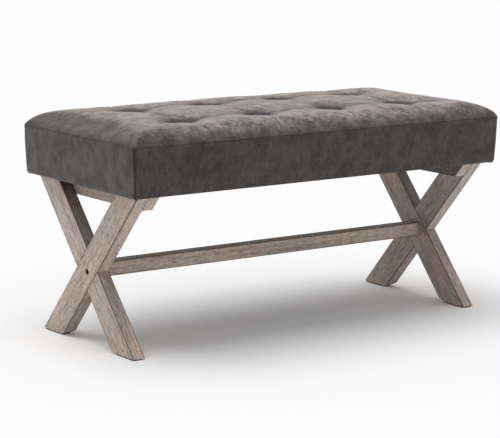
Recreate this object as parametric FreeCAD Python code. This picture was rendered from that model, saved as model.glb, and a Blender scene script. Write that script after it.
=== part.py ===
import FreeCAD, Part
import math
import os

# Upholstered bench: a boxed, tufted seat on two crossed-leg end frames.
# Millimetres, +Z up, +X along the seat, front at -Y, origin on the floor under the middle.

# Seat over its cover
SEAM_LENGTH = 906.0
SEAM_DEPTH = 406.0
SEAM_HEIGHT = 410.0
BOXING_HEIGHT = 97.0
SIDE_SWELL = 2.0
BOTTOM_DRAW_IN = 4.0
BOTTOM_RADIUS = 6.0
CROWN_RISE = 36.0
CROWN_DOME = 4.0
END_CROWN_DROP = 5.0
END_CROWN_LIFT = 1.0
SHOULDER_RUN = 60.0

# Soft layers
COVER = 1.2
HEM_WIDTH = 24.0
LAYER_GAP = 0.3
WADDING = 7.0
DUST_COVER = 0.6
DUST_COVER_MARGIN = 9.0

# Tufts
TUFT_COLUMNS = 4
TUFT_ROWS = 2
TUFT_PITCH_X = 182.0
TUFT_PITCH_Y = 180.0
TUFT_DEPTH = 26.0
TUFT_FLOOR_RADIUS = 12.0
TUFT_RIM_RADIUS = 42.0
TUFT_RIM_LIFT = 0.8
BUTTON_RADIUS = 11.0
BUTTON_EDGE = 2.5
BUTTON_HEIGHT = 7.0
BUTTON_EYE_DEPTH = 2.0
TWINE_RADIUS = 0.8
TWINE_CLEARANCE = 0.3
ANCHOR_RADIUS = 10.0
ANCHOR_THICKNESS = 3.0
KNOT_RADIUS = 2.5

# Seat frame
FRAME_RAIL_THICKNESS = 20.0
FRAME_RAIL_HEIGHT = 45.0
MOUNTING_RAIL_WIDTH = 44.0
DECK_THICKNESS = 9.0
CORNER_BLOCK_LEG = 40.0

# Crossed legs
FRAME_END_INSET = 22.7
LEG_THICKNESS = 26.5
LEG_WIDTH = 56.0
LEG_HEAD_SETBACK = 23.5
CROSSING_HEIGHT = 149.2
FOOT_BEVEL = 8.0
PAD_THICKNESS = 2.0
PAD_MARGIN = 3.0

# Top rails and stretcher
TOP_RAIL_THICKNESS = 24.0
TOP_RAIL_HEIGHT = 30.0
STRETCHER_HEIGHT = 29.0
STRETCHER_THICKNESS = 28.0
STRETCHER_MIDDLE = 147.5
STRETCHER_BOLT_DROP = 3.5
STRETCHER_DOWEL_RISE = 8.0

# Bolts, nuts and dowels
BOLT_RADIUS = 3.0
BOLT_CLEARANCE = 0.3
BOLT_HEAD_RADIUS = 5.0
BOLT_HEAD_HEIGHT = 5.0
SOCKET_FLATS = 5.0
SOCKET_DEPTH = 3.0
WASHER_RADIUS = 6.0
WASHER_THICKNESS = 1.2
RECESS_CLEARANCE = 0.3
RAIL_RECESS_DEPTH = 8.0
LEG_RECESS_DEPTH = 8.0
RAIL_BOLT_LENGTH = 40.0
RAIL_BOLT_OFFSET = 60.0
INSERT_RADIUS = 4.5
INSERT_LENGTH = 14.0
FIT_GAP = 0.05
STRETCHER_BOLT_LENGTH = 50.0
BARREL_NUT_RADIUS = 5.0
BARREL_NUT_LENGTH = 16.0
BARREL_NUT_INSET = 28.0
DOWEL_RADIUS = 4.0
DOWEL_LENGTH = 28.0
DOWEL_IN_LEG = 11.0

# Screws and staples
SCREW_RADIUS = 2.0
SCREW_HEAD_RADIUS = 4.0
SCREW_HEAD_HEIGHT = 2.4
FRAME_SCREW_LENGTH = 50.0
FRAME_SCREW_EDGE = 11.0
DECK_SCREW_LENGTH = 30.0
DECK_SCREW_PITCH = 250.0
LEG_SCREW_LENGTH = 42.0
LEG_SCREW_SPREAD = 32.0
STAPLE_CROWN = 10.0
STAPLE_WIRE_WIDTH = 1.2
STAPLE_WIRE_THICKNESS = 0.6
STAPLE_LENGTH = 10.0
COVER_STAPLE_SETBACK = 18.0
DUST_STAPLE_SETBACK = 13.0
COVER_STAPLE_PITCH = 62.0
DUST_STAPLE_PITCH = 88.0

# Places worked out from the sizes above
HALF_LENGTH = SEAM_LENGTH / 2
HALF_DEPTH = SEAM_DEPTH / 2
CROWN_TOP = SEAM_HEIGHT + CROWN_RISE
SEAT_UNDERSIDE = SEAM_HEIGHT - BOXING_HEIGHT
HEM_BOTTOM = SEAT_UNDERSIDE + DUST_COVER
FRAME_BOTTOM = HEM_BOTTOM + COVER
DECK_BOTTOM = FRAME_BOTTOM + FRAME_RAIL_HEIGHT
DECK_TOP = DECK_BOTTOM + DECK_THICKNESS
WOOD_SETBACK = BOTTOM_DRAW_IN + BOTTOM_RADIUS
WOOD_X = HALF_LENGTH - WOOD_SETBACK
WOOD_Y = HALF_DEPTH - WOOD_SETBACK
END_RAIL_X = WOOD_X - FRAME_RAIL_THICKNESS
LONG_RAIL_Y = WOOD_Y - FRAME_RAIL_THICKNESS
MOUNTING_RAIL_X = END_RAIL_X - MOUNTING_RAIL_WIDTH
WADDING_OUTSIDE = COVER + LAYER_GAP
WADDING_INSIDE = WADDING_OUTSIDE + WADDING
FOAM_OUTSIDE = WADDING_INSIDE + LAYER_GAP
TUFT_FLOOR = CROWN_TOP - TUFT_DEPTH
TWINE_HOLE = TWINE_RADIUS + TWINE_CLEARANCE
FRAME_OUTER_FACE = HALF_LENGTH - FRAME_END_INSET
FRAME_INNER_FACE = FRAME_OUTER_FACE - LEG_THICKNESS
LEG_HEAD_REACH = HALF_DEPTH - LEG_HEAD_SETBACK
LEG_HEAD_RISE = SEAT_UNDERSIDE - CROSSING_HEIGHT
LEG_DIAGONAL = math.hypot(LEG_HEAD_REACH, LEG_HEAD_RISE)
LEAN = math.acos(LEG_WIDTH / 2 / LEG_DIAGONAL) - math.atan2(LEG_HEAD_RISE, LEG_HEAD_REACH)
LEG_HALF_SPAN = LEG_WIDTH / 2 / math.cos(LEAN)
TOP_RAIL_X = FRAME_INNER_FACE - TOP_RAIL_THICKNESS
TOP_RAIL_BOTTOM = SEAT_UNDERSIDE - TOP_RAIL_HEIGHT
TOP_RAIL_BOLT_X = FRAME_INNER_FACE - TOP_RAIL_THICKNESS / 2
STRETCHER_BOLT_Z = STRETCHER_MIDDLE - STRETCHER_BOLT_DROP
STRETCHER_DOWEL_Z = STRETCHER_MIDDLE + STRETCHER_DOWEL_RISE
BOLT_HOLE = BOLT_RADIUS + BOLT_CLEARANCE
RECESS_RADIUS = WASHER_RADIUS + RECESS_CLEARANCE
FAR = SEAM_LENGTH

Vector = FreeCAD.Vector
SIDES = {"left": -1, "right": 1}
EDGES = {"front": -1, "back": 1}


# Plain solids

def box(x_span, y_span, z_span):
    """Box between (low, high) pairs, which may be given in either order."""
    low = [min(span) for span in (x_span, y_span, z_span)]
    size = [max(span) - min(span) for span in (x_span, y_span, z_span)]
    return Part.makeBox(size[0], size[1], size[2], Vector(*low))


def rod(radius, start, end):
    """Cylinder from one point to another."""
    along = end - start
    return Part.makeCylinder(radius, along.Length, start, along)


def tube(outer, inner, start, end):
    """Ring or sleeve from one point to another."""
    return rod(outer, start, end).cut(rod(inner, start, end))


def prism(points, push):
    """Straight-sided solid over a closed outline of points."""
    outline = Part.makePolygon(points + [points[0]])
    return Part.Face(outline).extrude(push)


def arc(start, through, end):
    """Edge on the circle through three points."""
    return Part.Arc(start, through, end).toShape()


def line(start, end):
    """Straight edge."""
    return Part.LineSegment(start, end).toShape()


# Cushion forms

def shoulder_arc(rise):
    """Radius and centre height of the arc that climbs from the seam to the crown."""
    radius = (SHOULDER_RUN ** 2 + rise ** 2) / (2 * rise)
    return radius, SEAM_HEIGHT + rise - radius


def crown_edges(place, half, side, crown, rise, dome):
    """Edges over the top of one section, from its left seam to its right seam."""
    radius, centre_z = shoulder_arc(rise)
    radius = radius - crown
    shoulder_u = half - SHOULDER_RUN
    run = SHOULDER_RUN - side
    seam_angle = math.asin(run / radius)
    seam_z = centre_z + radius * math.cos(seam_angle)
    middle_u = shoulder_u + radius * math.sin(seam_angle / 2)
    middle_z = centre_z + radius * math.cos(seam_angle / 2)
    shoulder_z = centre_z + radius
    left = arc(place(-half + side, seam_z), place(-middle_u, middle_z), place(-shoulder_u, shoulder_z))
    right = arc(place(shoulder_u, shoulder_z), place(middle_u, middle_z), place(half - side, seam_z))
    top = arc(place(-shoulder_u, shoulder_z), place(0, shoulder_z + dome), place(shoulder_u, shoulder_z))
    return [left, top, right], seam_z


def swelled_wall(place, half, side, floor, seam_z):
    """Edges of one section's right wall: drawn in at the foot, rounded under, swelled midway."""
    radius = BOTTOM_RADIUS - side
    foot_u = half - BOTTOM_DRAW_IN - side
    turn = radius * math.sin(math.pi / 4)
    centre_u = foot_u - radius
    centre_z = floor + radius
    swell_u = half + SIDE_SWELL - side
    wall = arc(place(half - side, seam_z), place(swell_u, (seam_z + centre_z) / 2), place(foot_u, centre_z))
    corner = arc(place(foot_u, centre_z), place(centre_u + turn, centre_z - turn), place(centre_u, floor))
    return [wall, corner]


def section(place, half, side, crown, floor, rise, dome, straight):
    """Closed face of one section of the cushion, inset by side at its walls and crown on top."""
    edges, seam_z = crown_edges(place, half, side, crown, rise, dome)

    def mirrored(u, z):
        return place(-u, z)

    if straight:
        foot_u = half - side
        edges.append(line(place(foot_u, seam_z), place(foot_u, floor)))
        edges.append(line(place(-foot_u, seam_z), place(-foot_u, floor)))
    else:
        foot_u = half - BOTTOM_DRAW_IN - BOTTOM_RADIUS
        edges.extend(swelled_wall(place, half, side, floor, seam_z))
        edges.extend(swelled_wall(mirrored, half, side, floor, seam_z))
    edges.append(line(place(-foot_u, floor), place(foot_u, floor)))
    return Part.Face(Part.Wire(Part.__sortEdges__(edges)))


def cushion_bar(along_x, side, crown, floor, straight=False):
    """One section of the cushion pushed far past its ends, along X or along Y."""
    if along_x:
        face = section(lambda u, z: Vector(-FAR, u, z), HALF_DEPTH, side, crown, floor,
                       CROWN_RISE - CROWN_DOME, CROWN_DOME, straight)
        return face.extrude(Vector(2 * FAR, 0, 0))
    face = section(lambda u, z: Vector(u, -FAR, z), HALF_LENGTH, side, crown, floor,
                   CROWN_RISE - END_CROWN_DROP, END_CROWN_DROP + END_CROWN_LIFT, straight)
    return face.extrude(Vector(0, 2 * FAR, 0))


def cushion_form(side, crown, floor, straight=False):
    """Crowned cushion without its tufts: the space that two crossing bars share."""
    across = cushion_bar(True, side, crown, floor, straight)
    return across.common(cushion_bar(False, side, crown, floor, straight))


def tuft_places():
    """Centres of the tufts, seen from above."""
    places = []
    for column in range(TUFT_COLUMNS):
        for row in range(TUFT_ROWS):
            x = (column - (TUFT_COLUMNS - 1) / 2) * TUFT_PITCH_X
            y = (row - (TUFT_ROWS - 1) / 2) * TUFT_PITCH_Y
            places.append((x, y))
    return places


def tuft_hollow(grow):
    """Bell-shaped hollow about the Z axis, one layer of the cushion further out by grow."""
    floor_z = TUFT_FLOOR
    rim_z = CROWN_TOP + TUFT_RIM_LIFT
    half_run = (TUFT_RIM_RADIUS - TUFT_FLOOR_RADIUS) / 2
    half_rise = (rim_z - floor_z) / 2
    radius = (half_run ** 2 + half_rise ** 2) / (2 * half_rise)
    steepest = math.asin(half_run / radius)
    lower = radius + grow
    upper = radius - grow

    def low(angle):
        return Vector(TUFT_FLOOR_RADIUS + lower * math.sin(angle), 0,
                      floor_z + radius - lower * math.cos(angle))

    def high(angle):
        return Vector(TUFT_RIM_RADIUS - upper * math.sin(angle), 0,
                      rim_z - radius + upper * math.cos(angle))

    above = CROWN_TOP + TUFT_DEPTH
    edges = [line(Vector(0, 0, floor_z - grow), low(0)),
             arc(low(0), low(steepest / 2), low(steepest)),
             arc(high(steepest), high(steepest / 2), high(0)),
             line(high(0), Vector(TUFT_RIM_RADIUS, 0, above)),
             line(Vector(TUFT_RIM_RADIUS, 0, above), Vector(0, 0, above)),
             line(Vector(0, 0, above), Vector(0, 0, floor_z - grow))]
    face = Part.Face(Part.Wire(edges))
    return face.revolve(Vector(0, 0, 0), Vector(0, 0, 1), 360)


def at_tufts(shape):
    """One copy of a shape at each tuft."""
    copies = []
    for x, y in tuft_places():
        copy = shape.copy()
        copy.translate(Vector(x, y, 0))
        copies.append(copy)
    return copies


def twine_holes():
    """Bores for the twine, through every layer at each tuft."""
    return at_tufts(rod(TWINE_HOLE, Vector(0, 0, SEAT_UNDERSIDE), Vector(0, 0, CROWN_TOP)))


# Fasteners

def screw(length, seat, inward):
    """Countersunk screw whose flat head lies at seat and whose shank runs inward."""
    body = rod(SCREW_RADIUS, Vector(0, 0, 0), Vector(0, 0, length))
    head = Part.makeCone(SCREW_HEAD_RADIUS, SCREW_RADIUS, SCREW_HEAD_HEIGHT)
    placed = body.fuse(head).removeSplitter()
    placed.Placement = FreeCAD.Placement(seat, FreeCAD.Rotation(Vector(0, 0, 1), inward))
    return placed


def socket_bolt(length, under_head, inward):
    """Socket head bolt: the head stands behind under_head, the shank runs inward from it."""
    head = rod(BOLT_HEAD_RADIUS, Vector(0, 0, -BOLT_HEAD_HEIGHT), Vector(0, 0, 0))
    body = head.fuse(rod(BOLT_RADIUS, Vector(0, 0, 0), Vector(0, 0, length))).removeSplitter()
    corner_radius = SOCKET_FLATS / 2 / math.cos(math.pi / 6)
    corners = []
    for corner in range(6):
        angle = corner * math.pi / 3
        corners.append(Vector(corner_radius * math.cos(angle), corner_radius * math.sin(angle),
                              -BOLT_HEAD_HEIGHT))
    body = body.cut(prism(corners, Vector(0, 0, SOCKET_DEPTH)))
    body.Placement = FreeCAD.Placement(under_head, FreeCAD.Rotation(Vector(0, 0, 1), inward))
    return body


def staple(x, y, crown_bottom, along_x):
    """Staple driven upwards: a flat crown with a leg at each end."""
    crown_half = (STAPLE_CROWN / 2, STAPLE_WIRE_WIDTH / 2)
    leg_half = (STAPLE_WIRE_THICKNESS / 2, STAPLE_WIRE_WIDTH / 2)
    leg_shift = (crown_half[0] - leg_half[0], 0)
    if not along_x:
        crown_half = crown_half[::-1]
        leg_half = leg_half[::-1]
        leg_shift = leg_shift[::-1]
    body = box((x - crown_half[0], x + crown_half[0]), (y - crown_half[1], y + crown_half[1]),
               (crown_bottom, crown_bottom + STAPLE_WIRE_THICKNESS))
    for sign in (-1, 1):
        leg_x = x + sign * leg_shift[0]
        leg_y = y + sign * leg_shift[1]
        leg = box((leg_x - leg_half[0], leg_x + leg_half[0]), (leg_y - leg_half[1], leg_y + leg_half[1]),
                  (crown_bottom, crown_bottom + STAPLE_LENGTH))
        body = body.fuse(leg)
    return body.removeSplitter()


def spaced(half, pitch):
    """Even places between -half and half, no further apart than pitch."""
    gaps = math.ceil(2 * half / pitch)
    return [-half + 2 * half * step / gaps for step in range(gaps + 1)]


def staple_ring(setback, pitch, crown_bottom):
    """Staples round the underside, setback from the drawn-in foot of the cover."""
    line_x = HALF_LENGTH - BOTTOM_DRAW_IN - setback
    line_y = HALF_DEPTH - BOTTOM_DRAW_IN - setback
    staples = []
    for sign in (-1, 1):
        for x in spaced(line_x - 2 * setback, pitch):
            staples.append(staple(x, sign * line_y, crown_bottom, True))
        for y in spaced(line_y - 2 * setback, pitch):
            staples.append(staple(sign * line_x, y, crown_bottom, False))
    return staples


def cover_staples():
    """Staples that hold the hem, with their crowns pressed into it."""
    return staple_ring(COVER_STAPLE_SETBACK, COVER_STAPLE_PITCH, HEM_BOTTOM)


def dust_cover_staples():
    """Staples that hold the dust cover, with their crowns on its face."""
    crown_bottom = SEAT_UNDERSIDE - STAPLE_WIRE_THICKNESS
    return staple_ring(DUST_STAPLE_SETBACK, DUST_STAPLE_PITCH, crown_bottom)


def frame_screws():
    """Two screws through a long rail into each end of every cross rail."""
    end_x = WOOD_X - FRAME_RAIL_THICKNESS / 2
    mounting_x = END_RAIL_X - MOUNTING_RAIL_WIDTH / 2
    heights = (FRAME_BOTTOM + FRAME_SCREW_EDGE, DECK_BOTTOM - FRAME_SCREW_EDGE)
    screws = []
    for edge in (-1, 1):
        for x in (-end_x, -mounting_x, 0, mounting_x, end_x):
            for z in heights:
                screws.append(screw(FRAME_SCREW_LENGTH, Vector(x, edge * WOOD_Y, z), Vector(0, -edge, 0)))
    return screws


def deck_screws():
    """Screws through the deck into the rails under it, clear of the frame screws."""
    long_y = WOOD_Y - FRAME_RAIL_THICKNESS / 2
    end_x = WOOD_X - FRAME_RAIL_THICKNESS / 2
    along = spaced(MOUNTING_RAIL_X - ANCHOR_RADIUS, DECK_SCREW_PITCH)
    places = [(x, edge * long_y) for edge in (-1, 1) for x in along]
    places += [(x, edge * TUFT_PITCH_Y / 2) for edge in (-1, 1) for x in (-end_x, 0, end_x)]
    return [screw(DECK_SCREW_LENGTH, Vector(x, y, DECK_TOP), Vector(0, 0, -1)) for x, y in places]


def rail_bolt_places():
    """Axes of the bolts that hold the top rails to the seat, seen from above."""
    return [(side * TOP_RAIL_BOLT_X, edge * RAIL_BOLT_OFFSET) for side in (-1, 1) for edge in (-1, 1)]


def rail_seat_z():
    """Height of the recess floor under a top rail."""
    return TOP_RAIL_BOTTOM + RAIL_RECESS_DEPTH


def top_rail_bolts():
    """Bolts up through the top rails into the mounting rails."""
    under_head = rail_seat_z() - WASHER_THICKNESS
    return [socket_bolt(RAIL_BOLT_LENGTH, Vector(x, y, under_head), Vector(0, 0, 1))
            for x, y in rail_bolt_places()]


def top_rail_washers():
    """Washers under the heads of the top rail bolts."""
    top = rail_seat_z()
    return [tube(WASHER_RADIUS, BOLT_HOLE, Vector(x, y, top - WASHER_THICKNESS), Vector(x, y, top))
            for x, y in rail_bolt_places()]


def threaded_inserts():
    """Sleeves in the mounting rails that take the top rail bolts."""
    return [tube(INSERT_RADIUS, BOLT_RADIUS + FIT_GAP, Vector(x, y, HEM_BOTTOM),
                 Vector(x, y, HEM_BOTTOM + INSERT_LENGTH)) for x, y in rail_bolt_places()]


def leg_screws():
    """Screws from each top rail into the heads of its two legs."""
    z = SEAT_UNDERSIDE - TOP_RAIL_HEIGHT / 2
    screws = []
    for side in (-1, 1):
        for edge in (-1, 1):
            for shift in (-LEG_SCREW_SPREAD / 2, LEG_SCREW_SPREAD / 2):
                y = edge * (leg_middle(z) + shift)
                screws.append(screw(LEG_SCREW_LENGTH, Vector(side * TOP_RAIL_X, y, z), Vector(side, 0, 0)))
    return screws


def stretcher_bolts():
    """Bolts through the crossings into the ends of the stretcher."""
    under_head = FRAME_OUTER_FACE - LEG_RECESS_DEPTH + WASHER_THICKNESS
    return [socket_bolt(STRETCHER_BOLT_LENGTH, Vector(side * under_head, 0, STRETCHER_BOLT_Z),
                        Vector(-side, 0, 0)) for side in (-1, 1)]


def stretcher_washers():
    """Washers under the heads of the stretcher bolts."""
    inner = FRAME_OUTER_FACE - LEG_RECESS_DEPTH
    outer = inner + WASHER_THICKNESS
    return [tube(WASHER_RADIUS, BOLT_HOLE, Vector(side * inner, 0, STRETCHER_BOLT_Z),
                 Vector(side * outer, 0, STRETCHER_BOLT_Z)) for side in (-1, 1)]


def barrel_nut_x():
    """Distance of the barrel nuts from the middle of the bench."""
    return FRAME_INNER_FACE - BARREL_NUT_INSET


def barrel_nuts():
    """Upright cross nuts inside the stretcher, one for each bolt."""
    low = STRETCHER_BOLT_Z - BARREL_NUT_LENGTH / 2
    nuts = []
    for side in (-1, 1):
        x = side * barrel_nut_x()
        nut = rod(BARREL_NUT_RADIUS, Vector(x, 0, low), Vector(x, 0, low + BARREL_NUT_LENGTH))
        bore = rod(BOLT_RADIUS + FIT_GAP, Vector(x - BARREL_NUT_LENGTH, 0, STRETCHER_BOLT_Z),
                   Vector(x + BARREL_NUT_LENGTH, 0, STRETCHER_BOLT_Z))
        nuts.append(nut.cut(bore))
    return nuts


def stretcher_dowels():
    """Dowels beside the bolts that stop the stretcher turning."""
    deep = FRAME_INNER_FACE + DOWEL_IN_LEG
    return [rod(DOWEL_RADIUS, Vector(side * (deep - DOWEL_LENGTH), 0, STRETCHER_DOWEL_Z),
                Vector(side * deep, 0, STRETCHER_DOWEL_Z)) for side in (-1, 1)]


# Cover, wadding and foam

def cover_top_panel():
    """Crowned top panel, from the seam up, with an eyelet for each twine."""
    outer = cushion_form(0, 0, HEM_BOTTOM).cut(at_tufts(tuft_hollow(0)))
    inner = cushion_form(COVER, COVER, FRAME_BOTTOM).cut(at_tufts(tuft_hollow(COVER)))
    above_seam = box((-FAR, FAR), (-FAR, FAR), (SEAM_HEIGHT, CROWN_TOP + TUFT_DEPTH))
    return outer.common(above_seam).cut([inner] + twine_holes())


def boxing_wedge(along_x, sign):
    """Space between two mitres that holds one boxing panel."""
    reach = HEM_WIDTH * 2
    outside = WOOD_SETBACK
    outline = []
    for end, depth in ((-1, outside), (1, outside), (1, -reach), (-1, -reach)):
        x = end * (HALF_LENGTH + depth) if along_x else sign * (HALF_LENGTH + depth)
        y = sign * (HALF_DEPTH + depth) if along_x else end * (HALF_DEPTH + depth)
        outline.append(Vector(x, y, SEAT_UNDERSIDE))
    return prism(outline, Vector(0, 0, SEAM_HEIGHT - SEAT_UNDERSIDE))


def boxing_panel(along_x, sign, staples):
    """One side wall of the cover with its hem, mitred at both corners."""
    wall = cushion_bar(along_x, 0, 0, HEM_BOTTOM).cut(cushion_bar(along_x, COVER, COVER, FRAME_BOTTOM))
    opening_x = HALF_LENGTH - BOTTOM_DRAW_IN - HEM_WIDTH
    opening_y = HALF_DEPTH - BOTTOM_DRAW_IN - HEM_WIDTH
    opening = box((-opening_x, opening_x), (-opening_y, opening_y), (SEAT_UNDERSIDE, DECK_BOTTOM))
    return wall.common(boxing_wedge(along_x, sign)).cut([opening] + staples)


def batting():
    """Wadding over the top and round the walls, stopped above the rounded foot."""
    stop = FRAME_BOTTOM + BOTTOM_RADIUS
    outer = cushion_form(WADDING_OUTSIDE, WADDING_OUTSIDE, FRAME_BOTTOM)
    outer = outer.cut(at_tufts(tuft_hollow(WADDING_OUTSIDE)))
    core = cushion_form(WOOD_SETBACK, WADDING_INSIDE, SEAT_UNDERSIDE, straight=True)
    core = core.cut(at_tufts(tuft_hollow(WADDING_INSIDE)))
    above_stop = box((-FAR, FAR), (-FAR, FAR), (stop, CROWN_TOP))
    return outer.common(above_stop).cut([core] + twine_holes())


def foam_pad():
    """Foam on the deck, crowned and tufted like the cover."""
    form = cushion_form(WOOD_SETBACK, FOAM_OUTSIDE, DECK_TOP, straight=True)
    return form.cut(at_tufts(tuft_hollow(FOAM_OUTSIDE)) + twine_holes())


def tuft_button():
    """Covered button: a low dome on a short straight edge, with an eye for the twine."""
    edge_z = TUFT_FLOOR + BUTTON_EDGE
    top_z = TUFT_FLOOR + BUTTON_HEIGHT
    rise = top_z - edge_z
    radius = (BUTTON_RADIUS ** 2 + rise ** 2) / (2 * rise)
    half_angle = math.asin(BUTTON_RADIUS / radius) / 2
    middle = Vector(radius * math.sin(half_angle), 0, top_z - radius + radius * math.cos(half_angle))
    edges = [line(Vector(0, 0, TUFT_FLOOR), Vector(BUTTON_RADIUS, 0, TUFT_FLOOR)),
             line(Vector(BUTTON_RADIUS, 0, TUFT_FLOOR), Vector(BUTTON_RADIUS, 0, edge_z)),
             arc(Vector(BUTTON_RADIUS, 0, edge_z), middle, Vector(0, 0, top_z)),
             line(Vector(0, 0, top_z), Vector(0, 0, TUFT_FLOOR))]
    dome = Part.Face(Part.Wire(edges)).revolve(Vector(0, 0, 0), Vector(0, 0, 1), 360)
    eye = rod(TWINE_HOLE, Vector(0, 0, TUFT_FLOOR), Vector(0, 0, TUFT_FLOOR + BUTTON_EYE_DEPTH))
    return dome.cut(eye)


def tuft_twines():
    """Twine from each button's eye to a knot under its anchor."""
    knot_z = DECK_BOTTOM - ANCHOR_THICKNESS - KNOT_RADIUS
    top_z = TUFT_FLOOR + BUTTON_EYE_DEPTH
    twine = rod(TWINE_RADIUS, Vector(0, 0, knot_z), Vector(0, 0, top_z))
    return at_tufts(twine.fuse(Part.makeSphere(KNOT_RADIUS, Vector(0, 0, knot_z))))


def tuft_anchors():
    """Discs under the deck that spread the pull of the twines."""
    low = Vector(0, 0, DECK_BOTTOM - ANCHOR_THICKNESS)
    return at_tufts(tube(ANCHOR_RADIUS, TWINE_HOLE, low, Vector(0, 0, DECK_BOTTOM)))


# Seat frame

def seat_deck():
    """Plywood deck over the rails."""
    deck = box((-WOOD_X, WOOD_X), (-WOOD_Y, WOOD_Y), (DECK_BOTTOM, DECK_TOP))
    return deck.cut(twine_holes() + deck_screws())


def long_rail(edge, fasteners):
    """Front or back rail, the full length of the seat frame."""
    rail = box((-WOOD_X, WOOD_X), (edge * LONG_RAIL_Y, edge * WOOD_Y), (FRAME_BOTTOM, DECK_BOTTOM))
    return rail.cut(fasteners)


def end_rail(side, fasteners):
    """Left or right rail, between the long rails."""
    rail = box((side * END_RAIL_X, side * WOOD_X), (-LONG_RAIL_Y, LONG_RAIL_Y), (FRAME_BOTTOM, DECK_BOTTOM))
    return rail.cut(fasteners)


def centre_rail(fasteners):
    """Cross rail under the middle of the deck."""
    half = FRAME_RAIL_THICKNESS / 2
    rail = box((-half, half), (-LONG_RAIL_Y, LONG_RAIL_Y), (FRAME_BOTTOM, DECK_BOTTOM))
    return rail.cut(fasteners)


def mounting_rail(side, fasteners):
    """Wide cross rail inside the end rail, down to the dust cover, that a top rail bolts to."""
    rail = box((side * MOUNTING_RAIL_X, side * END_RAIL_X), (-LONG_RAIL_Y, LONG_RAIL_Y),
               (HEM_BOTTOM, DECK_BOTTOM))
    bores = []
    for x, y in rail_bolt_places():
        sleeve_top = HEM_BOTTOM + INSERT_LENGTH
        bolt_top = rail_seat_z() - WASHER_THICKNESS + RAIL_BOLT_LENGTH + BOLT_CLEARANCE
        bores.append(rod(INSERT_RADIUS + FIT_GAP, Vector(x, y, HEM_BOTTOM), Vector(x, y, sleeve_top)))
        bores.append(rod(BOLT_HOLE, Vector(x, y, HEM_BOTTOM), Vector(x, y, bolt_top)))
    return rail.cut(bores + fasteners)


def corner_block(side, edge):
    """Three-cornered block glued between a mounting rail and a long rail."""
    x = side * MOUNTING_RAIL_X
    y = edge * LONG_RAIL_Y
    corners = [Vector(x, y, FRAME_BOTTOM), Vector(x - side * CORNER_BLOCK_LEG, y, FRAME_BOTTOM),
               Vector(x, y - edge * CORNER_BLOCK_LEG, FRAME_BOTTOM)]
    return prism(corners, Vector(0, 0, FRAME_RAIL_HEIGHT))


def dust_cover(staples):
    """Thin cloth over the underside, clear of the bolts."""
    half_x = HALF_LENGTH - BOTTOM_DRAW_IN - DUST_COVER_MARGIN
    half_y = HALF_DEPTH - BOTTOM_DRAW_IN - DUST_COVER_MARGIN
    sheet = box((-half_x, half_x), (-half_y, half_y), (SEAT_UNDERSIDE, HEM_BOTTOM))
    holes = [rod(BOLT_HOLE, Vector(x, y, SEAT_UNDERSIDE), Vector(x, y, HEM_BOTTOM))
             for x, y in rail_bolt_places()]
    return sheet.cut(holes + staples)


# Crossed legs, top rails and stretcher

def leg_middle(z):
    """Distance of a leg's centre line from the middle plane, above the crossing."""
    return (z - CROSSING_HEIGHT) * math.tan(LEAN)


def leg_bar(side, foot):
    """Whole leg before the crossing is let in; its foot is at the front (-1) or the back (1)."""
    head = -foot * leg_middle(SEAT_UNDERSIDE)
    base = -foot * leg_middle(PAD_THICKNESS)
    span = foot * LEG_HALF_SPAN
    rise = FOOT_BEVEL * math.cos(LEAN)
    drift = FOOT_BEVEL * math.sin(LEAN)
    outline = [(head - span, SEAT_UNDERSIDE), (head + span, SEAT_UNDERSIDE), (base + span, PAD_THICKNESS),
               (base - span + foot * FOOT_BEVEL, PAD_THICKNESS),
               (base - span - foot * drift, PAD_THICKNESS + rise)]
    x = side * FRAME_INNER_FACE
    points = [Vector(x, y, z) for y, z in outline]
    return prism(points, Vector(side * LEG_THICKNESS, 0, 0))


def half_layer(side, outer):
    """The outer or inner half of an X frame's thickness."""
    middle = side * (FRAME_OUTER_FACE - LEG_THICKNESS / 2)
    face = side * (FRAME_OUTER_FACE if outer else FRAME_INNER_FACE)
    return box((middle, face), (-FAR, FAR), (0, SEAT_UNDERSIDE))


def leg_holes(side):
    """Recess, bolt hole and dowel hole at one crossing."""
    face = side * FRAME_OUTER_FACE
    inner = side * FRAME_INNER_FACE
    recess = side * (FRAME_OUTER_FACE - LEG_RECESS_DEPTH)
    deep = side * (FRAME_INNER_FACE + DOWEL_IN_LEG)
    return [rod(RECESS_RADIUS, Vector(face, 0, STRETCHER_BOLT_Z), Vector(recess, 0, STRETCHER_BOLT_Z)),
            rod(BOLT_HOLE, Vector(face, 0, STRETCHER_BOLT_Z), Vector(inner, 0, STRETCHER_BOLT_Z)),
            rod(DOWEL_RADIUS + FIT_GAP, Vector(inner, 0, STRETCHER_DOWEL_Z),
                Vector(deep, 0, STRETCHER_DOWEL_Z))]


def leg(side, foot, fasteners):
    """Leg let half its thickness into the other; the back-foot leg runs through outside."""
    other = leg_bar(side, -foot)
    given_up = other.common(half_layer(side, foot < 0))
    return leg_bar(side, foot).cut([given_up] + leg_holes(side) + fasteners)


def foot_pad(side, foot):
    """Felt pad under one foot, a margin inside its edges."""
    base = -foot * leg_middle(PAD_THICKNESS)
    outer_y = base + foot * (LEG_HALF_SPAN - PAD_MARGIN)
    inner_y = base - foot * (LEG_HALF_SPAN - PAD_MARGIN - FOOT_BEVEL)
    return box((side * (FRAME_INNER_FACE + PAD_MARGIN), side * (FRAME_OUTER_FACE - PAD_MARGIN)),
               (inner_y, outer_y), (0, PAD_THICKNESS))


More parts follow.
